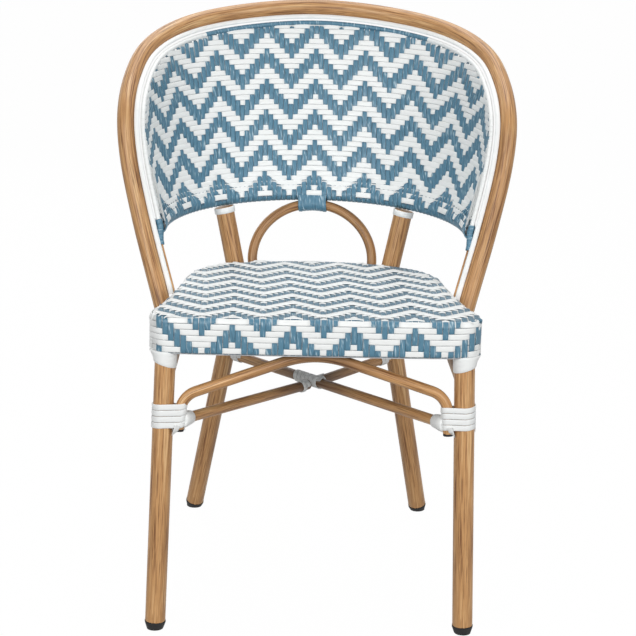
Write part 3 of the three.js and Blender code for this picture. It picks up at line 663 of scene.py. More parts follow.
def apron_level(level):
    """Height of a row of the apron, how far it lies above the start of the round edge, and how far inward."""
    z = APRON_LOW + APRON_PITCH * (APRON_ROWS - 1 - level)
    drop = max(0.0, z - (TOP - EDGE_ROUND))
    return z, drop, EDGE_ROUND - math.sqrt(max(0.0, EDGE_ROUND**2 - drop**2))


def over_edge(point, outward, axis, sign, number, height):
    """A strand's way from under the apron up and round the top edge: places, normals, how high it lies, which also
    sets its painted shade, and where.
    """
    lean = max(abs(outward[1 - axis]), 0.3)
    travel = np.zeros(3)
    travel[1 - axis] = -sign
    out = unit(np.array([outward[0], outward[1], 0]))
    low = SEAT["bottom"]
    steps = [(16, low + 1.0, [0, 0, -1]), (5, low + 0.9, [0, 0, -1]), (1.2, low + 2.4, out - [0, 0, 0.8])]
    for level in LEVELS:
        z, drop, inward = apron_level(level)
        steps.append((inward, z, out * (EDGE_ROUND - inward) + [0, 0, drop]))
    for turn in np.radians([66, 84]):
        rise, run = math.sin(turn), math.cos(turn)
        steps.append((EDGE_ROUND * (1 - run), TOP - EDGE_ROUND * (1 - rise), out * run + [0, 0, rise]))
    base = point + travel * STRAND_INSET / lean
    places = np.array([base + travel * inward / lean + [0, 0, z] for inward, z, _ in steps])
    normals = unit([normal for _, _, normal in steps])
    lift = bowed(LEVELS, seat_rises(number, np.rint(LEVELS).astype(int)))
    # under the seat the strand lies low and is painted dark: -1 and -0.4 paint shade where it wraps under the apron
    lift = np.concatenate([[-1, -1, -0.4], lift, [0.3, 0.3]])
    return places + normals * (lift * height)[:, None], normals, lift, point


def edge_end(axis, number, value, sign, steepest, height, marks):
    """A strand's way over the seat's edge and its width there, or nothing where the edge runs too much along it.

    Axis 0 is a lengthwise strand at an X and axis 1 a crosswise one at a Y, on the side that the sign says. Marks
    gets the place on the seat's outline and the strand's number.
    """
    order = np.nonzero(SEAT_OUTWARD[:, 1 - axis] * sign > 0.05)[0]
    gap = np.abs(SEAT_LINE[order, axis] - value)
    best = order[np.argmin(gap)]
    slant = abs(SEAT_OUTWARD[best, 1 - axis])
    if gap.min() >= 1.5 or slant < steepest:
        return None, 1.0
    marks.append((SEAT_ALONG[best], number))
    return over_edge(SEAT_LINE[best], SEAT_OUTWARD[best], axis, sign, number, height), 1 / max(0.6, slant)


def strand_across(first, flat, lift, last, pitch, widths, thick, seed, painted_lightness=1.0):
    """A strand of the seat from edge to edge, from its two ends and its places on the top."""
    up = np.tile([0.0, 0, 1], (len(flat), 1))
    # the part on the seat's top gets painted shade, darker by the last argument
    parts = [(first[0], first[1], shade_of(first[2])), (flat, up, painted_lightness * shade_of(lift))]
    parts.append((last[0][::-1], last[1][::-1], shade_of(last[2][::-1])))
    width = np.repeat([widths[0], 1.0, widths[1]], [len(first[0]), len(flat), len(last[0])])
    return joined(parts, pitch * width, thick, seed)


def short_end(point):
    """The end of a strand that goes down into the weave of the seat's top."""
    # -0.6 paints shade on the end where it goes down into the weave
    return point, np.array([[0, 0, 1.0]]), np.array([-0.6])


def seat_lengthwise(height, thick, share, marks):
    """Sheets of the seat's blue strands."""
    sheets = []
    for column in range(-27, 26):
        sides = ((-1, SEAT["front"]), (1, SEAT["rear"] - 20))
        ends = [edge_end(0, column, seat_x(column, y), sign, 0.35, height, marks) for sign, y in sides]
        (first, last), widths = zip(*ends)
        rows = stations(-0.45, TOP_ROWS, lambda row, c=column: seat_rises(c, -1 - row))
        y = seat_y(column, rows)
        x = seat_x(column, y)
        rear = last[3][1] - REAR_RIM if last else SEAT["rear"]
        inside = (y > first[3][1] + REAR_RIM) & (y < rear) & (np.abs(x) < seat_half(y) - RIM)
        start = np.argmax(inside) if inside.any() else len(y)
        rest = inside[start:]
        run = slice(start, start + (len(rest) if rest.all() else np.argmin(rest)))
        lift = bowed(rows[run], seat_rises(column, -1 - np.rint(rows[run]).astype(int)))
        flat = np.stack([x[run], y[run], TOP + np.where(lift > 0, 0.4, 1) * lift * height], -1)
        last = last or short_end((flat if len(flat) else first[0])[-1:] + [0, 3.5, -2.6])
        # the blue on the seat's top gets painted shade, 0.68
        sheets.append(strand_across(first, flat, lift, last, SEAT_COLUMN * share, widths, thick, column, 0.68))
    return sheets


def seat_crosswise(height, crown, thick, share, marks):
    """Sheets of the seat's white strands."""
    sheets = []
    for row in range(TOP_ROWS + 1):
        ends, reach = [], []
        for sign in (-1, 1):
            column = sign * 24
            for _ in range(4):
                y = float(seat_y(column, row))
                column = (sign * seat_half(y) - SEAT_SHIFT) / SEAT_COLUMN
            reach.append(column)
            ends.append(edge_end(1, row, y, sign, 0.8, height, marks))
        (first, last), widths = zip(*ends)
        columns = stations(reach[0] + 0.9, reach[1] - 0.9, lambda column, r=row: not seat_rises(column, -1 - r))
        y = seat_y(columns, row)
        over = ~seat_rises(np.rint(columns).astype(int), -1 - row)
        alone = (columns == np.rint(columns)) & over
        lift = np.where(alone, 0.75, bowed(columns, over))
        flat = np.stack([seat_x(columns, y), y, TOP + lift * np.where(lift > 0, crown, height)], -1)
        inside = np.abs(flat[:, 0]) < seat_half(y) - RIM
        flat, lift = flat[inside], lift[inside]
        if len(flat) < 4:
            continue
        if row == 0:
            flat += np.outer(lift > 0, [0, -1.2, -0.5])
        first = first or short_end(flat[:1] + [-4, 0, -2.6])
        last = last or short_end(flat[-1:] + [4, 0, -2.6])
        pitch = float(seat_y(0, row + 0.5) - seat_y(0, row - 0.5)) if row else 8.6
        sheets.append(strand_across(first, flat, lift, last, pitch * share, widths, thick, row))
    return sheets


def apron_rows(height, thick, share, marks):
    """White rows that go once round the apron, over and under what comes down from the top."""
    marks = sorted(marks, key=lambda mark: mark[0])
    places, numbers = (np.array(values) for values in zip(*marks))
    sheets = []
    for level in range(APRON_ROWS):
        z, drop, inward = apron_level(level)
        over = ~seat_rises(numbers, level)
        beside = np.stack([np.roll(over, 1), np.roll(over, -1)], -1)
        lift = np.where(over, 1.0, -1.0)[:, None] * np.where(beside == over[:, None], 1.0, FLOAT_END)
        along = (places[:, None] + [-2.5, 2.5]).ravel()
        order = np.argsort(along)
        order = order[np.concatenate([[True], np.diff(along[order]) > 1.5])]
        order = np.append(order, order[0])
        along, lift = along[order] % SEAT_ALONG[-1], lift.ravel()[order]
        out = unit(at_length(SEAT_OUTWARD, SEAT_ALONG, along))
        line = at_length(SEAT_LINE, SEAT_ALONG, along) - out * (STRAND_INSET + inward - lift[:, None] * height)
        normal = unit(out * (EDGE_ROUND - inward) + [0, 0, drop])
        sheets.append(strip_sheet(line + [0, 0, z], normal, APRON_PITCH * share, thick, level, shade_of(lift)))
    return sheets


# Lines of the tubes
def hoop_path():
    side, rise = HOOP_KNOTS[0], HOOP_AHEAD[0]
    corner = side + rise * ((HOOP_RUN["z"] - side[2]) / rise[2])
    leg = on_line(FRONT_FOOT, FRONT_TOP, HOOP_RUN["z"])
    start = leg + unit(corner - leg) * (LEG + HOOP_RUN["clear"])
    run = refined(bent([start, corner, side], [HOOP_RUN["bend"]]), LONG_STEP)
    return np.vstack([run, HOOP_LINE[8:-8:8], (run * FLIP)[::-1]])


def rear_leg_path():
    top = rail_point(math.asin(POST["x"] / half_width(RAIL["z"])))
    axis = unit(REAR_KNEE - REAR_FOOT)
    line = bent([REAR_FOOT + axis * FOOT_HEIGHT, REAR_KNEE, top], [POST["bend"]])
    end = top + unit(REAR_KNEE - top) * POST["into_rail"]
    return refined(np.vstack([line[:-1], end]), LEG_STEP)


def brace_path():
    """The bow brace. Its right knee stands a little higher than its left one."""
    rise = BRACE["crown_bend"] * (1 / math.cos(math.radians(BRACE["slope"])) - 1)
    crown = SEAT["bottom"] + BRACE["into_apron"] - SLIM + rise
    apex = np.array([0, BRACE_KNEE[1] + BRACE["back"], crown])
    corners = [BRACE_END, BRACE_KNEE + [0, 0, BRACE["right_up"]], apex, BRACE_KNEE * FLIP, BRACE_END * FLIP]
    return refined(bent(corners, [BRACE["knee_bend"], BRACE["crown_bend"], BRACE["knee_bend"]]), LONG_STEP)


def arch_path():
    under = 2 * SLIM + GAP
    crown_y, crown_z = RAIL["y"] - math.sin(LEAN) * under, RAIL["z"] - math.cos(LEAN) * under
    turns = np.linspace(0, math.pi, 49)
    drop = (crown_z - ARCH["spring"]) * (1 - np.sin(turns))
    bow = np.stack([ARCH["half"] * np.cos(turns) + ARCH["shift"], crown_y - drop * LEAN_RUN, crown_z - drop], -1)
    foot = np.array([ARCH["foot"], CROSS_RAIL["y"], CROSS_RAIL["z"] + SLIM])
    return refined(np.vstack([[foot], bow, [foot * FLIP]]), LONG_STEP)


# The stretchers: the long one from the right front to the left rear, and the two halves below it
STRETCH_FRONT = on_line(BRACE_END, BRACE_KNEE, 306.2)
STRETCH_REAR = on_line(REAR_FOOT, REAR_KNEE, 292.8)
LONG_REAR = STRETCH_REAR * FLIP
CROSSING = STRETCH_FRONT + (LONG_REAR - STRETCH_FRONT) * (STRETCH_FRONT[0] / (STRETCH_FRONT[0] - LONG_REAR[0]))
SHORT_CROSSING = CROSSING - [0, 0, 5.3]
LONG_START = STRETCH_FRONT + unit(CROSSING - STRETCH_FRONT) * (SLIM + TAPE + 4 * GAP)
SHORT_START = LONG_START * FLIP
# The half tubes stop beside the full one, this far from its axis along their own
LONG_WAY, SHORT_WAY = unit(LONG_REAR - LONG_START), unit(STRETCH_REAR - SHORT_START)
HALF_TRIM = 9.8 / abs(LONG_WAY[0] * SHORT_WAY[1] - LONG_WAY[1] * SHORT_WAY[0])


def bar_path(start, end, trim_start, trim_end):
    way = unit(end - start)
    return refined(np.array([start + way * trim_start, end - way * trim_end]), LONG_STEP)


# Bindings
COIL = {"pitch": 9.2, "width": 8.5, "rear_start": 19.5, "rear_turns": 2.5}
CENTRE_COIL = {"long_start": -39, "long_turns": 6.4, "short_start": 12.5, "short_turns": 1.25}
BLUE_BINDING = {"half": 27.3, "turns": 8, "pitch": 5.4, "width": 6.0}
FRONT_TURNS, TURN_GAP = 4.1, 0.25
# Each front lashing's lower rim and pitch
FRONT_LASHING = {"right": (294.5, 8.2), "left": (290.4, 8.6)}


def winding(origin, axis, centres, radii, turns, pitch, width, steps=32):
    """A flat strand wound tightly round one or more tubes, one pitch further along with each turn."""
    first = np.cross([0, 0, 1.0], axis)
    first = unit(first) if np.linalg.norm(first) > 0.5 else np.array([1.0, 0, 0])
    step = np.arange(int(round(turns * steps)) + 1) / steps
    turn = 2 * math.pi * step[:, None]
    along = pitch * step + width / 2
    out = first * np.cos(turn) + np.cross(axis, first) * np.sin(turn)
    points, best = np.zeros((len(step), 3)), np.full(len(step), -np.inf)
    for centre_of, radius in zip(centres, radii):
        centre = centre_of(along)
        reach = (centre * out).sum(1) + radius
        better = reach > best
        best = np.where(better, reach, best)
        points[better] = (centre + out * (radius + GAP + TAPE / 2))[better]
    points += axis * (along - (points - origin) @ axis)[:, None]
    taut = refined(np.hstack([points, out]), 4)
    return strip_sheet(taut[:, :3], unit(taut[:, 3:]), width, TAPE)


def coil(start, towards, offset, turns):
    """Turns round a slim tube."""
    axis = unit(towards - start)
    origin = start + axis * offset
    centres = [lambda along: origin + axis * along[:, None]]
    return winding(origin, axis, centres, [SLIM], turns, COIL["pitch"], COIL["width"])


def front_lashing(turn, base, pitch):
    """Turns round a front leg and the brace's end beside it."""
    lines = ((FRONT_FOOT, FRONT_TOP), (BRACE_END, BRACE_KNEE))
    centres = [lambda along, ends=ends: on_line(ends[0] * turn, ends[1] * turn, base + along) for ends in lines]
    up = np.array([0, 0, 1.0])
    return winding(up * base, up, centres, [LEG, SLIM], FRONT_TURNS, pitch, pitch - TURN_GAP, steps=40)


# The loose end of a front lashing: down between the brace and the leg and away behind the leg, by its places above
# the lashing's lower rim and its directions outward
LOOSE_PLACES = [(186, -12.5, 11), (188.5, -10.8, 5), (191, -8, 0), (193.5, -2, -3), (197, 8, -6)]
LOOSE_OUTWARD = [(-0.2, -1, 0.1), (-0.3, -1, 0.1), (-0.6, -0.8, 0), (-0.8, -0.6, 0), (-0.8, -0.3, 0)]


def loose_end(turn, base):
    return strip_sheet((LOOSE_PLACES + np.array([0, 0, base])) * turn, unit(LOOSE_OUTWARD) * turn, 7.0, TAPE)


def arch_binding():
    """Blue turns round the crown of the arch and the rail above it."""
    half = BLUE_BINDING["half"]
    arch = arch_path()
    arch = arch[np.argsort(arch[:, 0])]
    top = arch[np.abs(arch[:, 0]) < 60]

    def rail(along):
        return rail_point(np.arcsin((along - half) / half_width(RAIL["z"])))

    def bow(along):
        x = along - half
        return np.stack([x, np.interp(x, top[:, 0], top[:, 1]), np.interp(x, top[:, 0], top[:, 2])], -1)

    across = np.array([1.0, 0, 0])
    radii = [SLIM + GAP, SLIM + 4 * GAP]
    values = (BLUE_BINDING[name] for name in ("turns", "pitch", "width"))
    return winding(-half * across, across, [rail, bow], radii, *values)


def sleeve_sheet(start, towards, low, high, radius, flare=0.0):
    """A short tube of white strand pulled over another tube, rounded at both rims and wider by a flare at the first."""
    axis = unit(towards - start)
    inner, outer, soft = radius + GAP, radius + GAP + 1.5, 0.5
    profile = [(low, inner), (low, outer + flare - soft), (low + soft, outer + flare)]
    profile += [(0.6 * low + 0.4 * high, outer + 0.8 * flare), (high - soft, outer)]
    profile += [(high, outer - soft), (high, inner)]
    side = unit(np.cross(axis, [0, 1.0, 0.2]))
    turn = np.linspace(0, 2 * math.pi, 37)
    out = side * np.cos(turn)[:, None] + np.cross(axis, side) * np.sin(turn)[:, None]
    points = np.array([start + axis * along + out * reach for along, reach in profile])
    points[:, -1] = points[:, 0]
    return points, np.stack(np.broadcast_arrays(turn[None] * outer, lengths(np.array(profile))[:, None]), -1)


# Rings of a front leg's collar: their shares of its height, how far they stand off the leg, and the print's places
COLLAR_RINGS = [(0, 0.3), (0.01, 1.2), (0.05, 1.7), (0.3, 1.8), (0.6, 1.9), (0.85, 1.9), (1, 1.9), (1, 0.3)]
COLLAR_PRINT = np.cumsum([0, 1, 1, 5, 6, 5, 3, 2])
COLLAR = {"low": 384.5, "slant": 4.7, "high": 405.0, "flare": 6.2}


def leg_collar_sheet(turn):
    """The white wrap of a front leg's top: its lower rim slants, and it widens outwards to the corner of the apron."""
    angle = np.linspace(0, 2 * math.pi, 41)
    outward, rearward = np.cos(angle), np.sin(angle)
    low = COLLAR["low"] + COLLAR["slant"] * outward
    rings = []
    for share, room in COLLAR_RINGS:
        z = low + (COLLAR["high"] - low) * share
        flare = COLLAR["flare"] * share**1.8 * np.clip(outward, 0, 1) ** 1.5 * (room > 1)
        reach = np.stack([outward * (LEG + room + flare), rearward * (LEG + room), 0 * z], -1)
        rings.append(on_line(FRONT_FOOT, FRONT_TOP, z) + reach)
    points = np.array(rings) * turn
    points[:, -1] = points[:, 0]
    return points, np.stack(np.broadcast_arrays(lengths(points[1])[None], COLLAR_PRINT[:, None]), -1)


# Materials
MULTIPLY = {"data_type": "RGBA", "blend_type": "MULTIPLY"}
WHITE = (1, 1, 1, 1)
PLASTIC_IOR = 1.5


def add_node(tree, kind, inputs=None, stops=(), **settings):
    """Adds a node with its settings, values, links and, on a colour ramp, its stops."""
    made = tree.nodes.new("ShaderNode" + kind)
    for name, value in settings.items():
        setattr(made, name, value)
    for key, value in (inputs or {}).items():
        if isinstance(value, bpy.types.NodeSocket):
            tree.links.new(value, made.inputs[key])
        else:
            made.inputs[key].default_value = value
    for number, (place_at, shade) in enumerate(stops):
        band = made.color_ramp.elements
        stop = band[number] if number < len(band) else band.new(place_at)
        stop.position = place_at
        stop.color = [*shade, 1.0]
    return made


def empty_material(name):
    material = bpy.data.materials.new(name)
    material.use_nodes = True
    material.node_tree.nodes.clear()
    return material, material.node_tree


def new_material(name):
    """A material with its tree and its shader."""
    material, tree = empty_material(name)
    shader = add_node(tree, "BsdfPrincipled")
    add_node(tree, "OutputMaterial", {"Surface": shader.outputs["BSDF"]})
    return material, tree, shader


def surface_noise(tree, source, scale, **inputs):
    """Noise on a surface, its grain stated in metres along and across."""
    spread = add_node(tree, "Mapping", {"Vector": source, "Scale": [1 / size for size in scale]})
    values = {"Vector": spread.outputs["Vector"], "Scale": 1.0}
    values.update({name.capitalize(): value for name, value in inputs.items()})
    return add_node(tree, "TexNoise", values).outputs["Fac"]


def connect(tree, shader, colour_from, rough_from, rough, bump_from, strength, distance):
    """Links colour, roughness and bump to the shader."""
    tree.links.new(colour_from, shader.inputs["Base Color"])
    spread = {"Value": rough_from, "From Min": 0.3, "From Max": 0.7, "To Min": rough[0], "To Max": rough[1]}
    tree.links.new(add_node(tree, "MapRange", spread).outputs["Result"], shader.inputs["Roughness"])
    bump = add_node(tree, "Bump", {"Height": bump_from, "Strength": strength, "Distance": distance})
    tree.links.new(bump.outputs["Normal"], shader.inputs["Normal"])


def printed_wood_tube(name, colours):
    """Aluminium tube with a heat-transferred wood print under a satin lacquer: long fine streaks along the tube,
    brown pores and broad lighter bands, with a soft highlight."""
    material, tree, shader = new_material(name)
    uv = add_node(tree, "UVMap", uv_map="Surface").outputs["UV"]
    # streaks 2.4 mm across and 80 mm long, bands 9 mm across, pores 1.3 mm across and 60 mm long
    streak = surface_noise(tree, uv, (0.08, 0.0024, 1), detail=4.0, roughness=0.65)
    band = surface_noise(tree, uv, (0.21, 0.009, 1), detail=3.0, distortion=0.8)
    pore = surface_noise(tree, uv, (0.06, 0.0013, 1), detail=2.0)
    both = add_node(tree, "Mix", {0: 0.42, 2: streak, 3: band}, data_type="FLOAT").outputs[0]
    middle = colours.wood_middle
    grain = [(0.38, colours.wood_dark), (0.47, middle), (0.52, middle), (0.61, colours.wood_light)]
    shade = add_node(tree, "ValToRGB", {"Fac": both}, stops=grain).outputs["Color"]
    # the pores' brown, and painted shade on the print: dark where the tube stands in the shade of the seat
    painted_lightness = add_node(tree, "Attribute", attribute_name="PaintedLight").outputs["Fac"]
    pores = (pore, 0.8, [(0.37, (0.4, 0.32, 0.25)), (0.45, WHITE[:3])])
    painted_shade = (painted_lightness, 1.0, [(0.0, (0.1, 0.055, 0.03)), (1.0, WHITE[:3])])
    for source, share, stops in (pores, painted_shade):
        dark = add_node(tree, "ValToRGB", {"Fac": source}, stops=stops).outputs["Color"]
        shade = add_node(tree, "Mix", {0: share, 6: shade, 7: dark}, **MULTIPLY).outputs[2]
    connect(tree, shader, shade, both, (0.5, 0.38), streak, 0.15, 0.0003)
    shader.inputs["IOR"].default_value = PLASTIC_IOR
    return material


def polyethylene_strand(name, main, light, rough, contrast, dark_at=0.3):
    """Extruded polyethylene strand: satin, with drawn lines along it, painted highlight streaks at a slant where a
    twisting strand would catch the light, and painted shade where it dips between its neighbours."""
    material, tree, shader = new_material(name)
    uv = add_node(tree, "UVMap", uv_map="Surface").outputs["UV"]
    turned = add_node(tree, "Mapping", {"Vector": uv, "Rotation": (0, 0, math.radians(9))}).outputs["Vector"]
    # drawn lines 0.9 mm across and 25 mm long, and painted highlight streaks 3 mm across and 15 mm long at a slant
    # of 9 degrees
    lines = surface_noise(tree, uv, (0.025, 0.0009, 1), detail=2.0)
    streak = surface_noise(tree, turned, (0.015, 0.003, 1), detail=1.0)
    mixed = add_node(tree, "Mix", {0: 0.75, 2: lines, 3: streak}, data_type="FLOAT").outputs[0]
    dark = [c * (1 - contrast) for c in main]
    # the light colour at the top of the ramp is a painted highlight; the dark one is the strand's own colour varying
    stops = [(dark_at, dark), (dark_at + 0.14, main), (0.57, main), (0.7, light)]
    base = add_node(tree, "ValToRGB", {"Fac": mixed}, stops=stops).outputs["Color"]
    rise = add_node(tree, "Attribute", attribute_name="PaintedLight").outputs["Fac"]
    # painted shade where the strand dips: the lower it lies, the darker, and deeper with more contrast
    dip_shade_stops = [(0.3, [0.84 - 0.8 * contrast] * 3), (0.85, WHITE[:3])]
    dip_shade = add_node(tree, "ValToRGB", {"Fac": rise}, stops=dip_shade_stops).outputs["Color"]
    shade = add_node(tree, "Mix", {0: 1.0, 6: base, 7: dip_shade}, **MULTIPLY).outputs[2]
    connect(tree, shader, shade, streak, (rough + 0.06, rough - 0.06), lines, 0.25, 0.0003)
    shader.inputs["IOR"].default_value = PLASTIC_IOR
    return material


def moulded_black_plastic(name):
    """Moulded black polyethylene: dull, with a fine grain and scuffs."""
    material, tree, shader = new_material(name)
    place_at = add_node(tree, "TexCoord").outputs["Object"]
    # grain 0.8 mm, drawn coarser than the real one so that it shows, and scuffs 6 mm wide
    grain = surface_noise(tree, place_at, (0.0008, 0.0008, 0.0008), detail=2.0)
    scuff = surface_noise(tree, place_at, (0.006, 0.006, 0.006), detail=3.0)
    shades = [(0.4, colour("#050506")), (0.7, colour("#0F0F11"))]
    base = add_node(tree, "ValToRGB", {"Fac": scuff}, stops=shades).outputs["Color"]
    connect(tree, shader, base, scuff, (0.65, 0.85), grain, 0.3, 0.0002)
    return material


def mill_aluminium(name):
    """Bare extruded aluminium: dull grey with drawn lines, on the hidden frame of the seat."""
    material, tree, shader = new_material(name)
    place_at = add_node(tree, "TexCoord").outputs["Object"]
    # drawn lines 1.1 mm across
    lines = surface_noise(tree, place_at, (0.017, 0.0011, 0.0011), detail=3.0)
    shades = [(0.3, colour("#8F9194")), (0.7, colour("#B4B6B8"))]
    base = add_node(tree, "ValToRGB", {"Fac": lines}, stops=shades).outputs["Color"]
    connect(tree, shader, base, lines, (0.35, 0.55), lines, 0.2, 0.0002)
    shader.inputs["Metallic"].default_value = 1.0
    return material


def finish_of(kind):
    """One material of each kind, made when it is first asked for."""
    colours = bpy.context.scene.chair_colours
    strand = polyethylene_strand
    recipes = {
        "wood": ("printed_wood_aluminium_tube", printed_wood_tube, colours),
        # strands: colour, painted highlight colour, roughness, then contrast, which sets both the darker spots of the
        # strand's own colour (specks on the grey one) and the depth of the painted shade where it dips
        "white": ("white_polyethylene_strand", strand, colours.white, colour("#FAFCFC"), 0.42, 0.06),
        "blue": ("blue_polyethylene_strand", strand, colours.blue, colours.blue_highlight, 0.34, 0.4),
        "grey": ("speckled_grey_strand", strand, colour("#F1F3F2"), colour("#FAFBFB"), 0.5, 0.75, 0.22),
        "black": ("moulded_black_polyethylene", moulded_black_plastic),
        "metal": ("mill_finish_aluminium", mill_aluminium),
    }
    name, recipe, *values = recipes[kind]
    return bpy.data.materials.get(name) or recipe(name, *values)


# Stage: the camera's place, and its turn, dip and roll in degrees; the lamps' places, sizes and powers
CAMERA_PLACE = (-0.0461, -2.5735, 1.0271)
CAMERA_TURNS = (-1.17, 12.71, 1.39)
SENSOR, LENS, SHIFT = 36.0, 99.06, -0.05975
LAMPS = {
    "key": ((-1.3, -3.1, 1.65), 1.9, 60),
    "fill": ((1.9, -2.7, 1.3), 1.7, 39),
    "top": ((0.1, 0.9, 2.9), 1.8, 36),
    "rear": ((-1.4, 3.1, 1.9), 1.8, 16),
}
LIT_AT = Vector((0, 0, 0.45))
SKY, FLOOR_SIZE, FLOOR_GLOW, FLOOR_SHARE = 0.22, 60.0, 1.04, 0.95


def linked(name, data):
    """A new object in the scene."""
    made = bpy.data.objects.new(name, data)
    bpy.context.scene.collection.objects.link(made)
    return made


def seen_directly(tree):
    """1 for rays from the camera, in a mirror or through glass, and 0 for the rays that light the scene."""
    path = add_node(tree, "LightPath").outputs
    either = add_node(tree, "Math", {0: path["Is Camera Ray"], 1: path["Is Glossy Ray"]}, operation="MAXIMUM")
    through = {0: either.outputs[0], 1: path["Is Transmission Ray"]}
    return add_node(tree, "Math", through, operation="MAXIMUM").outputs[0]


def pale_floor():
    """Painted white floor, as even as paper: seen directly it is white, and it keeps the shadow."""
    material, tree = empty_material("white_paper_floor")
    paper = add_node(tree, "BsdfDiffuse", {"Color": [*colour("#8E8E8E"), 1.0]})
    glow = add_node(tree, "Emission", {"Color": WHITE, "Strength": FLOOR_GLOW})
    share = add_node(tree, "Math", {0: seen_directly(tree), 1: FLOOR_SHARE}, operation="MULTIPLY")
    both = add_node(tree, "MixShader", {"Fac": share.outputs[0], 1: paper.outputs[0], 2: glow.outputs[0]})
    add_node(tree, "OutputMaterial", {"Surface": both.outputs[0]})
    return material


def camera_axes():
    """The camera's own axes as columns: to the right, up and back."""
    turn, dip_shade, roll = (math.radians(angle) for angle in CAMERA_TURNS)
    right = np.array([math.cos(turn), math.sin(turn), 0])
    level = np.array([-math.sin(turn), math.cos(turn), 0])
    up = np.array([0, 0, 1.0])
    ahead = math.cos(dip_shade) * level - math.sin(dip_shade) * up
    down = -(math.cos(dip_shade) * up + math.sin(dip_shade) * level)
    rolled = math.cos(roll) * right - math.sin(roll) * down, math.sin(roll) * right + math.cos(roll) * down
    return np.stack([rolled[0], -rolled[1], -ahead], -1)


class ChairOperator:
    """What all of the chair's operators share."""

    bl_options = {"REGISTER", "UNDO"}


class BISTRO_OT_stage(ChairOperator, bpy.types.Operator):
    """Sets up the camera, the floor, the backdrop and the lamps"""

    bl_idname = "bistro.stage"
    bl_label = "Stage"

    def execute(self, context):
        scene = context.scene
        scene.view_settings.view_transform = "Standard"
        data = bpy.data.cameras.new("camera")
        data.sensor_width, data.lens, data.shift_y = SENSOR, LENS, SHIFT
        scene.camera = linked("camera", data)
        scene.camera.matrix_world = Matrix.Translation(CAMERA_PLACE) @ Matrix(camera_axes().tolist()).to_4x4()

        mesh = bpy.data.meshes.new("floor")
        bm = bmesh.new()
        bmesh.ops.create_grid(bm, x_segments=1, y_segments=1, size=FLOOR_SIZE)
        bm.to_mesh(mesh)
        bm.free()
        linked("floor", mesh)
        mesh.materials.append(pale_floor())

        scene.world = bpy.data.worlds.new("studio")
        scene.world.use_nodes = True
        tree = scene.world.node_tree
        tree.nodes.clear()
        light = add_node(tree, "Mix", {0: seen_directly(tree), 2: SKY, 3: 1.0}, data_type="FLOAT")
        ground = add_node(tree, "Background", {"Color": WHITE, "Strength": light.outputs[0]})
        add_node(tree, "OutputWorld", {"Surface": ground.outputs["Background"]})

        for name, (place_at, size, power) in LAMPS.items():
            data = bpy.data.lights.new(name, "AREA")
            data.size, data.energy = size, power
            lamp = linked(name, data)
            lamp.location = place_at
            lamp.rotation_euler = (LIT_AT - Vector(place_at)).to_track_quat("-Z", "Y").to_euler()
        return {"FINISHED"}


def carry_over(name, kind):
    """A CAD node that stays gets its finish."""
    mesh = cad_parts[name].data
    mesh.materials.clear()
    mesh.materials.append(finish_of(kind))


SIDES = {"right": np.array([1, 1, 1]), "left": np.array([-1, 1, 1])}


class BISTRO_OT_tubes(ChairOperator, bpy.types.Operator):
    """Bends the hoop, the legs, the brace, the arch and the stretchers"""

    bl_idname = "bistro.tubes"
    bl_label = "Tubes"

    def execute(self, context):
        brace = brace_path()
        # values below 1 paint the print darker: painted shade on the arch behind the seat, the brace's middle under the
        # apron and the stretchers near their crossing under the seat, and a little on the hoop and the rear legs
        tube("hoop", hoop_path(), HOOP, "back_hoop", painted_lightness=0.9)
        tube("inner_rod", ROD_LINE[::8], ROD, "back_inner_rod", 16)
        tube("arch", arch_path(), SLIM, "back_arch", painted_lightness=0.68)
        tube("brace", brace, SLIM, "front_brace", painted_lightness=0.5 + 0.5 * smoothstep(np.abs(brace[:, 0]), 30, 120))
        foot = FRONT_FOOT + unit(FRONT_TOP - FRONT_FOOT) * FOOT_HEIGHT
        front = refined(np.array([foot, FRONT_TOP - [0, 0, 0.4]]), LEG_STEP)
        for side, turn in SIDES.items():
            tube(f"front_leg_tube_{side}", front * turn, LEG, f"front_leg_{side}")
            tube(f"rear_leg_tube_{side}", rear_leg_path() * turn, LEG, f"rear_leg_{side}", painted_lightness=0.92)
        bars = {
            "stretcher_long": (LONG_START, LONG_REAR, 0, LEG),
            "stretcher_short_front": (SHORT_START, SHORT_CROSSING, 0, HALF_TRIM),
            "stretcher_short_rear": (SHORT_CROSSING, STRETCH_REAR, HALF_TRIM, LEG),
        }
        for node, ends in bars.items():
            path = bar_path(*ends)
            away = np.linalg.norm(path - CROSSING, axis=1)
            tube(f"{node}_tube", path, SLIM, node, painted_lightness=0.22 + 0.7 * smoothstep(away, 15, 130))
        rail = np.array([[x, CROSS_RAIL["y"], CROSS_RAIL["z"]] for x in (-CROSS_RAIL["half"], CROSS_RAIL["half"])])
        tube("rear_rail", refined(rail, LEG_STEP), SLIM, "rear_cross_rail")
        for node in ("seat_frame", "seat_cross_rail_front", "seat_cross_rail_rear", "back_rail"):
            carry_over(node, "metal")
        for side in SIDES:
            carry_over(f"hoop_lug_{side}", "metal")
        return {"FINISHED"}


class BISTRO_OT_back(ChairOperator, bpy.types.Operator):
    """Weaves the back: blue strands lengthwise, white strands across, and the piping beside the hoop"""

    bl_idname = "bistro.back"
    bl_label = "Woven back"

    def execute(self, context):
        sizes = context.scene.chair_sizes
        height, thick = sizes.weave_height / METRE, sizes.strand_thick / METRE
        laid("back_strands_blue", back_lengthwise(height, thick, sizes.warp_share), "blue", "back_panel")
        laid("back_strands_white", back_crosswise(height, thick, sizes.weft_share), "white", "back_panel")
        for kind, sheets in zip(("white", "blue"), rod_windings()):
            laid(f"rod_winding_{kind}", sheets, kind, "back_panel")
        laid("piping", [piping_sheet()], "white", "hoop_piping")
        return {"FINISHED"}


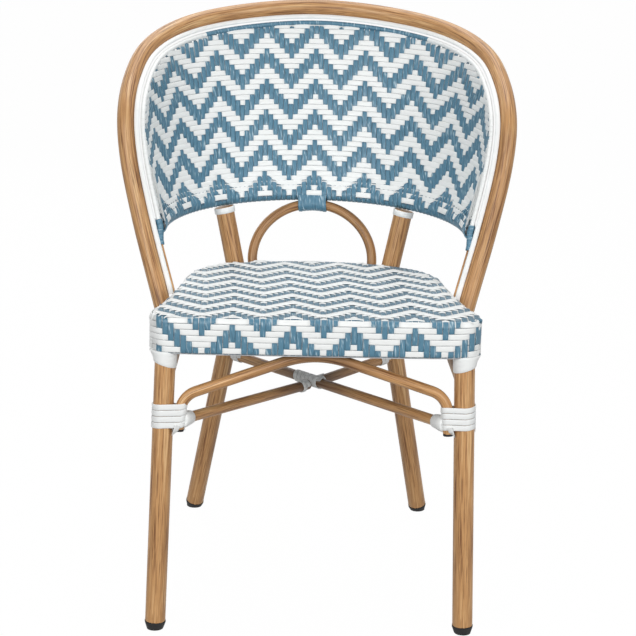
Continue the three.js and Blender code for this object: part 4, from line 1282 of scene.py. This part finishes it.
class BISTRO_OT_seat(ChairOperator, bpy.types.Operator):
    """Weaves the seat: blue strands lengthwise, white strands across, and white rows round the apron"""

    bl_idname = "bistro.seat"
    bl_label = "Woven seat"

    def execute(self, context):
        sizes = context.scene.chair_sizes
        height, crown, thick = (size / METRE for size in (sizes.weave_height, sizes.seat_crown, sizes.strand_thick))
        marks = []
        blue = seat_lengthwise(height, thick, sizes.warp_share, marks)
        white = seat_crosswise(height, crown, thick, sizes.weft_share, marks)
        laid("seat_strands_blue", blue, "blue", "seat_panel")
        laid("seat_strands_white", white, "white", "seat_panel")
        laid("apron_strands_white", apron_rows(height, thick, sizes.weft_share, marks), "white", "seat_panel")
        return {"FINISHED"}


class BISTRO_OT_bindings(ChairOperator, bpy.types.Operator):
    """Winds the bindings at the joints and pulls the sleeves over the tubes"""

    bl_idname = "bistro.bindings"
    bl_label = "Bindings"

    def execute(self, context):
        for side, turn in SIDES.items():
            base, pitch = FRONT_LASHING[side]
            parts = [front_lashing(turn, base, pitch), loose_end(turn, base)]
            laid(f"front_lashing_{side}", parts, "white", f"lashing_front_{side}")
            laid(f"front_leg_collar_{side}", [leg_collar_sheet(turn)], "white", f"leg_collar_{side}")
            low, high = (rear_leg_path() * turn)[-2:]
            reach = np.linalg.norm(high - low)
            collar = sleeve_sheet(low, high, reach - 9.5, reach - 0.5, LEG)
            laid(f"rear_post_collar_{side}", [collar], "white", f"post_collar_{side}")
        for side, start, towards in (("left", LONG_REAR, CROSSING), ("right", STRETCH_REAR, SHORT_CROSSING)):
            turns = coil(start, towards, COIL["rear_start"], COIL["rear_turns"])
            laid(f"rear_lashing_{side}", [turns], "white", f"lashing_rear_{side}")
        turns = coil(CROSSING, LONG_START, CENTRE_COIL["long_start"], CENTRE_COIL["long_turns"])
        laid("centre_lashing_full", [turns], "grey", "lashing_centre_long")
        for end, towards in (("front", SHORT_START), ("rear", STRETCH_REAR)):
            turns = coil(SHORT_CROSSING, towards, CENTRE_COIL["short_start"], CENTRE_COIL["short_turns"])
            laid(f"centre_lashing_{end}", [turns], "grey", f"lashing_centre_short_{end}")
        sleeves = {"right": (LONG_START, CROSSING, -7, 17), "left": (SHORT_START, SHORT_CROSSING, -7, 13.8)}
        for side, ends in sleeves.items():
            laid(f"sleeve_{side}", [sleeve_sheet(*ends, SLIM, flare=3.0)], "white", f"stretcher_sleeve_{side}")
        laid("blue_binding", [arch_binding()], "blue", "arch_binding")
        return {"FINISHED"}


class BISTRO_OT_feet(ChairOperator, bpy.types.Operator):
    """Gives the plug feet and the plugs of the brace their black finish"""

    bl_idname = "bistro.feet"
    bl_label = "Feet and plugs"

    def execute(self, context):
        for name in ("foot_front", "foot_rear", "brace_plug"):
            for side in SIDES:
                carry_over(f"{name}_{side}", "black")
        return {"FINISHED"}


class BISTRO_PT_panel(bpy.types.Panel):
    """Lists the steps that build the chair"""

    bl_idname = "BISTRO_PT_panel"
    bl_label = "Bistro chair"
    bl_space_type = "VIEW_3D"
    bl_region_type = "UI"
    bl_category = "Bistro chair"

    def draw(self, context):
        for step in STEPS:
            self.layout.operator(step.bl_idname)
        for group in (context.scene.chair_sizes, context.scene.chair_colours):
            for name in group.__annotations__:
                self.layout.prop(group, name)


STEPS = (BISTRO_OT_stage, BISTRO_OT_tubes, BISTRO_OT_back, BISTRO_OT_seat, BISTRO_OT_bindings, BISTRO_OT_feet)
CLASSES = (ChairSizes, ChairColours) + STEPS + (BISTRO_PT_panel,)


def register():
    for part in CLASSES:
        bpy.utils.register_class(part)
    bpy.types.Scene.chair_sizes = PointerProperty(type=ChairSizes)
    bpy.types.Scene.chair_colours = PointerProperty(type=ChairColours)


def unregister():
    del bpy.types.Scene.chair_sizes
    del bpy.types.Scene.chair_colours
    for part in reversed(CLASSES):
        bpy.utils.unregister_class(part)


def main():
    register()
    bpy.ops.bistro.stage()
    bpy.ops.bistro.tubes()
    bpy.ops.bistro.back()
    bpy.ops.bistro.seat()
    bpy.ops.bistro.bindings()
    bpy.ops.bistro.feet()
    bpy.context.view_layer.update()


if __name__ == "__main__":
    main()
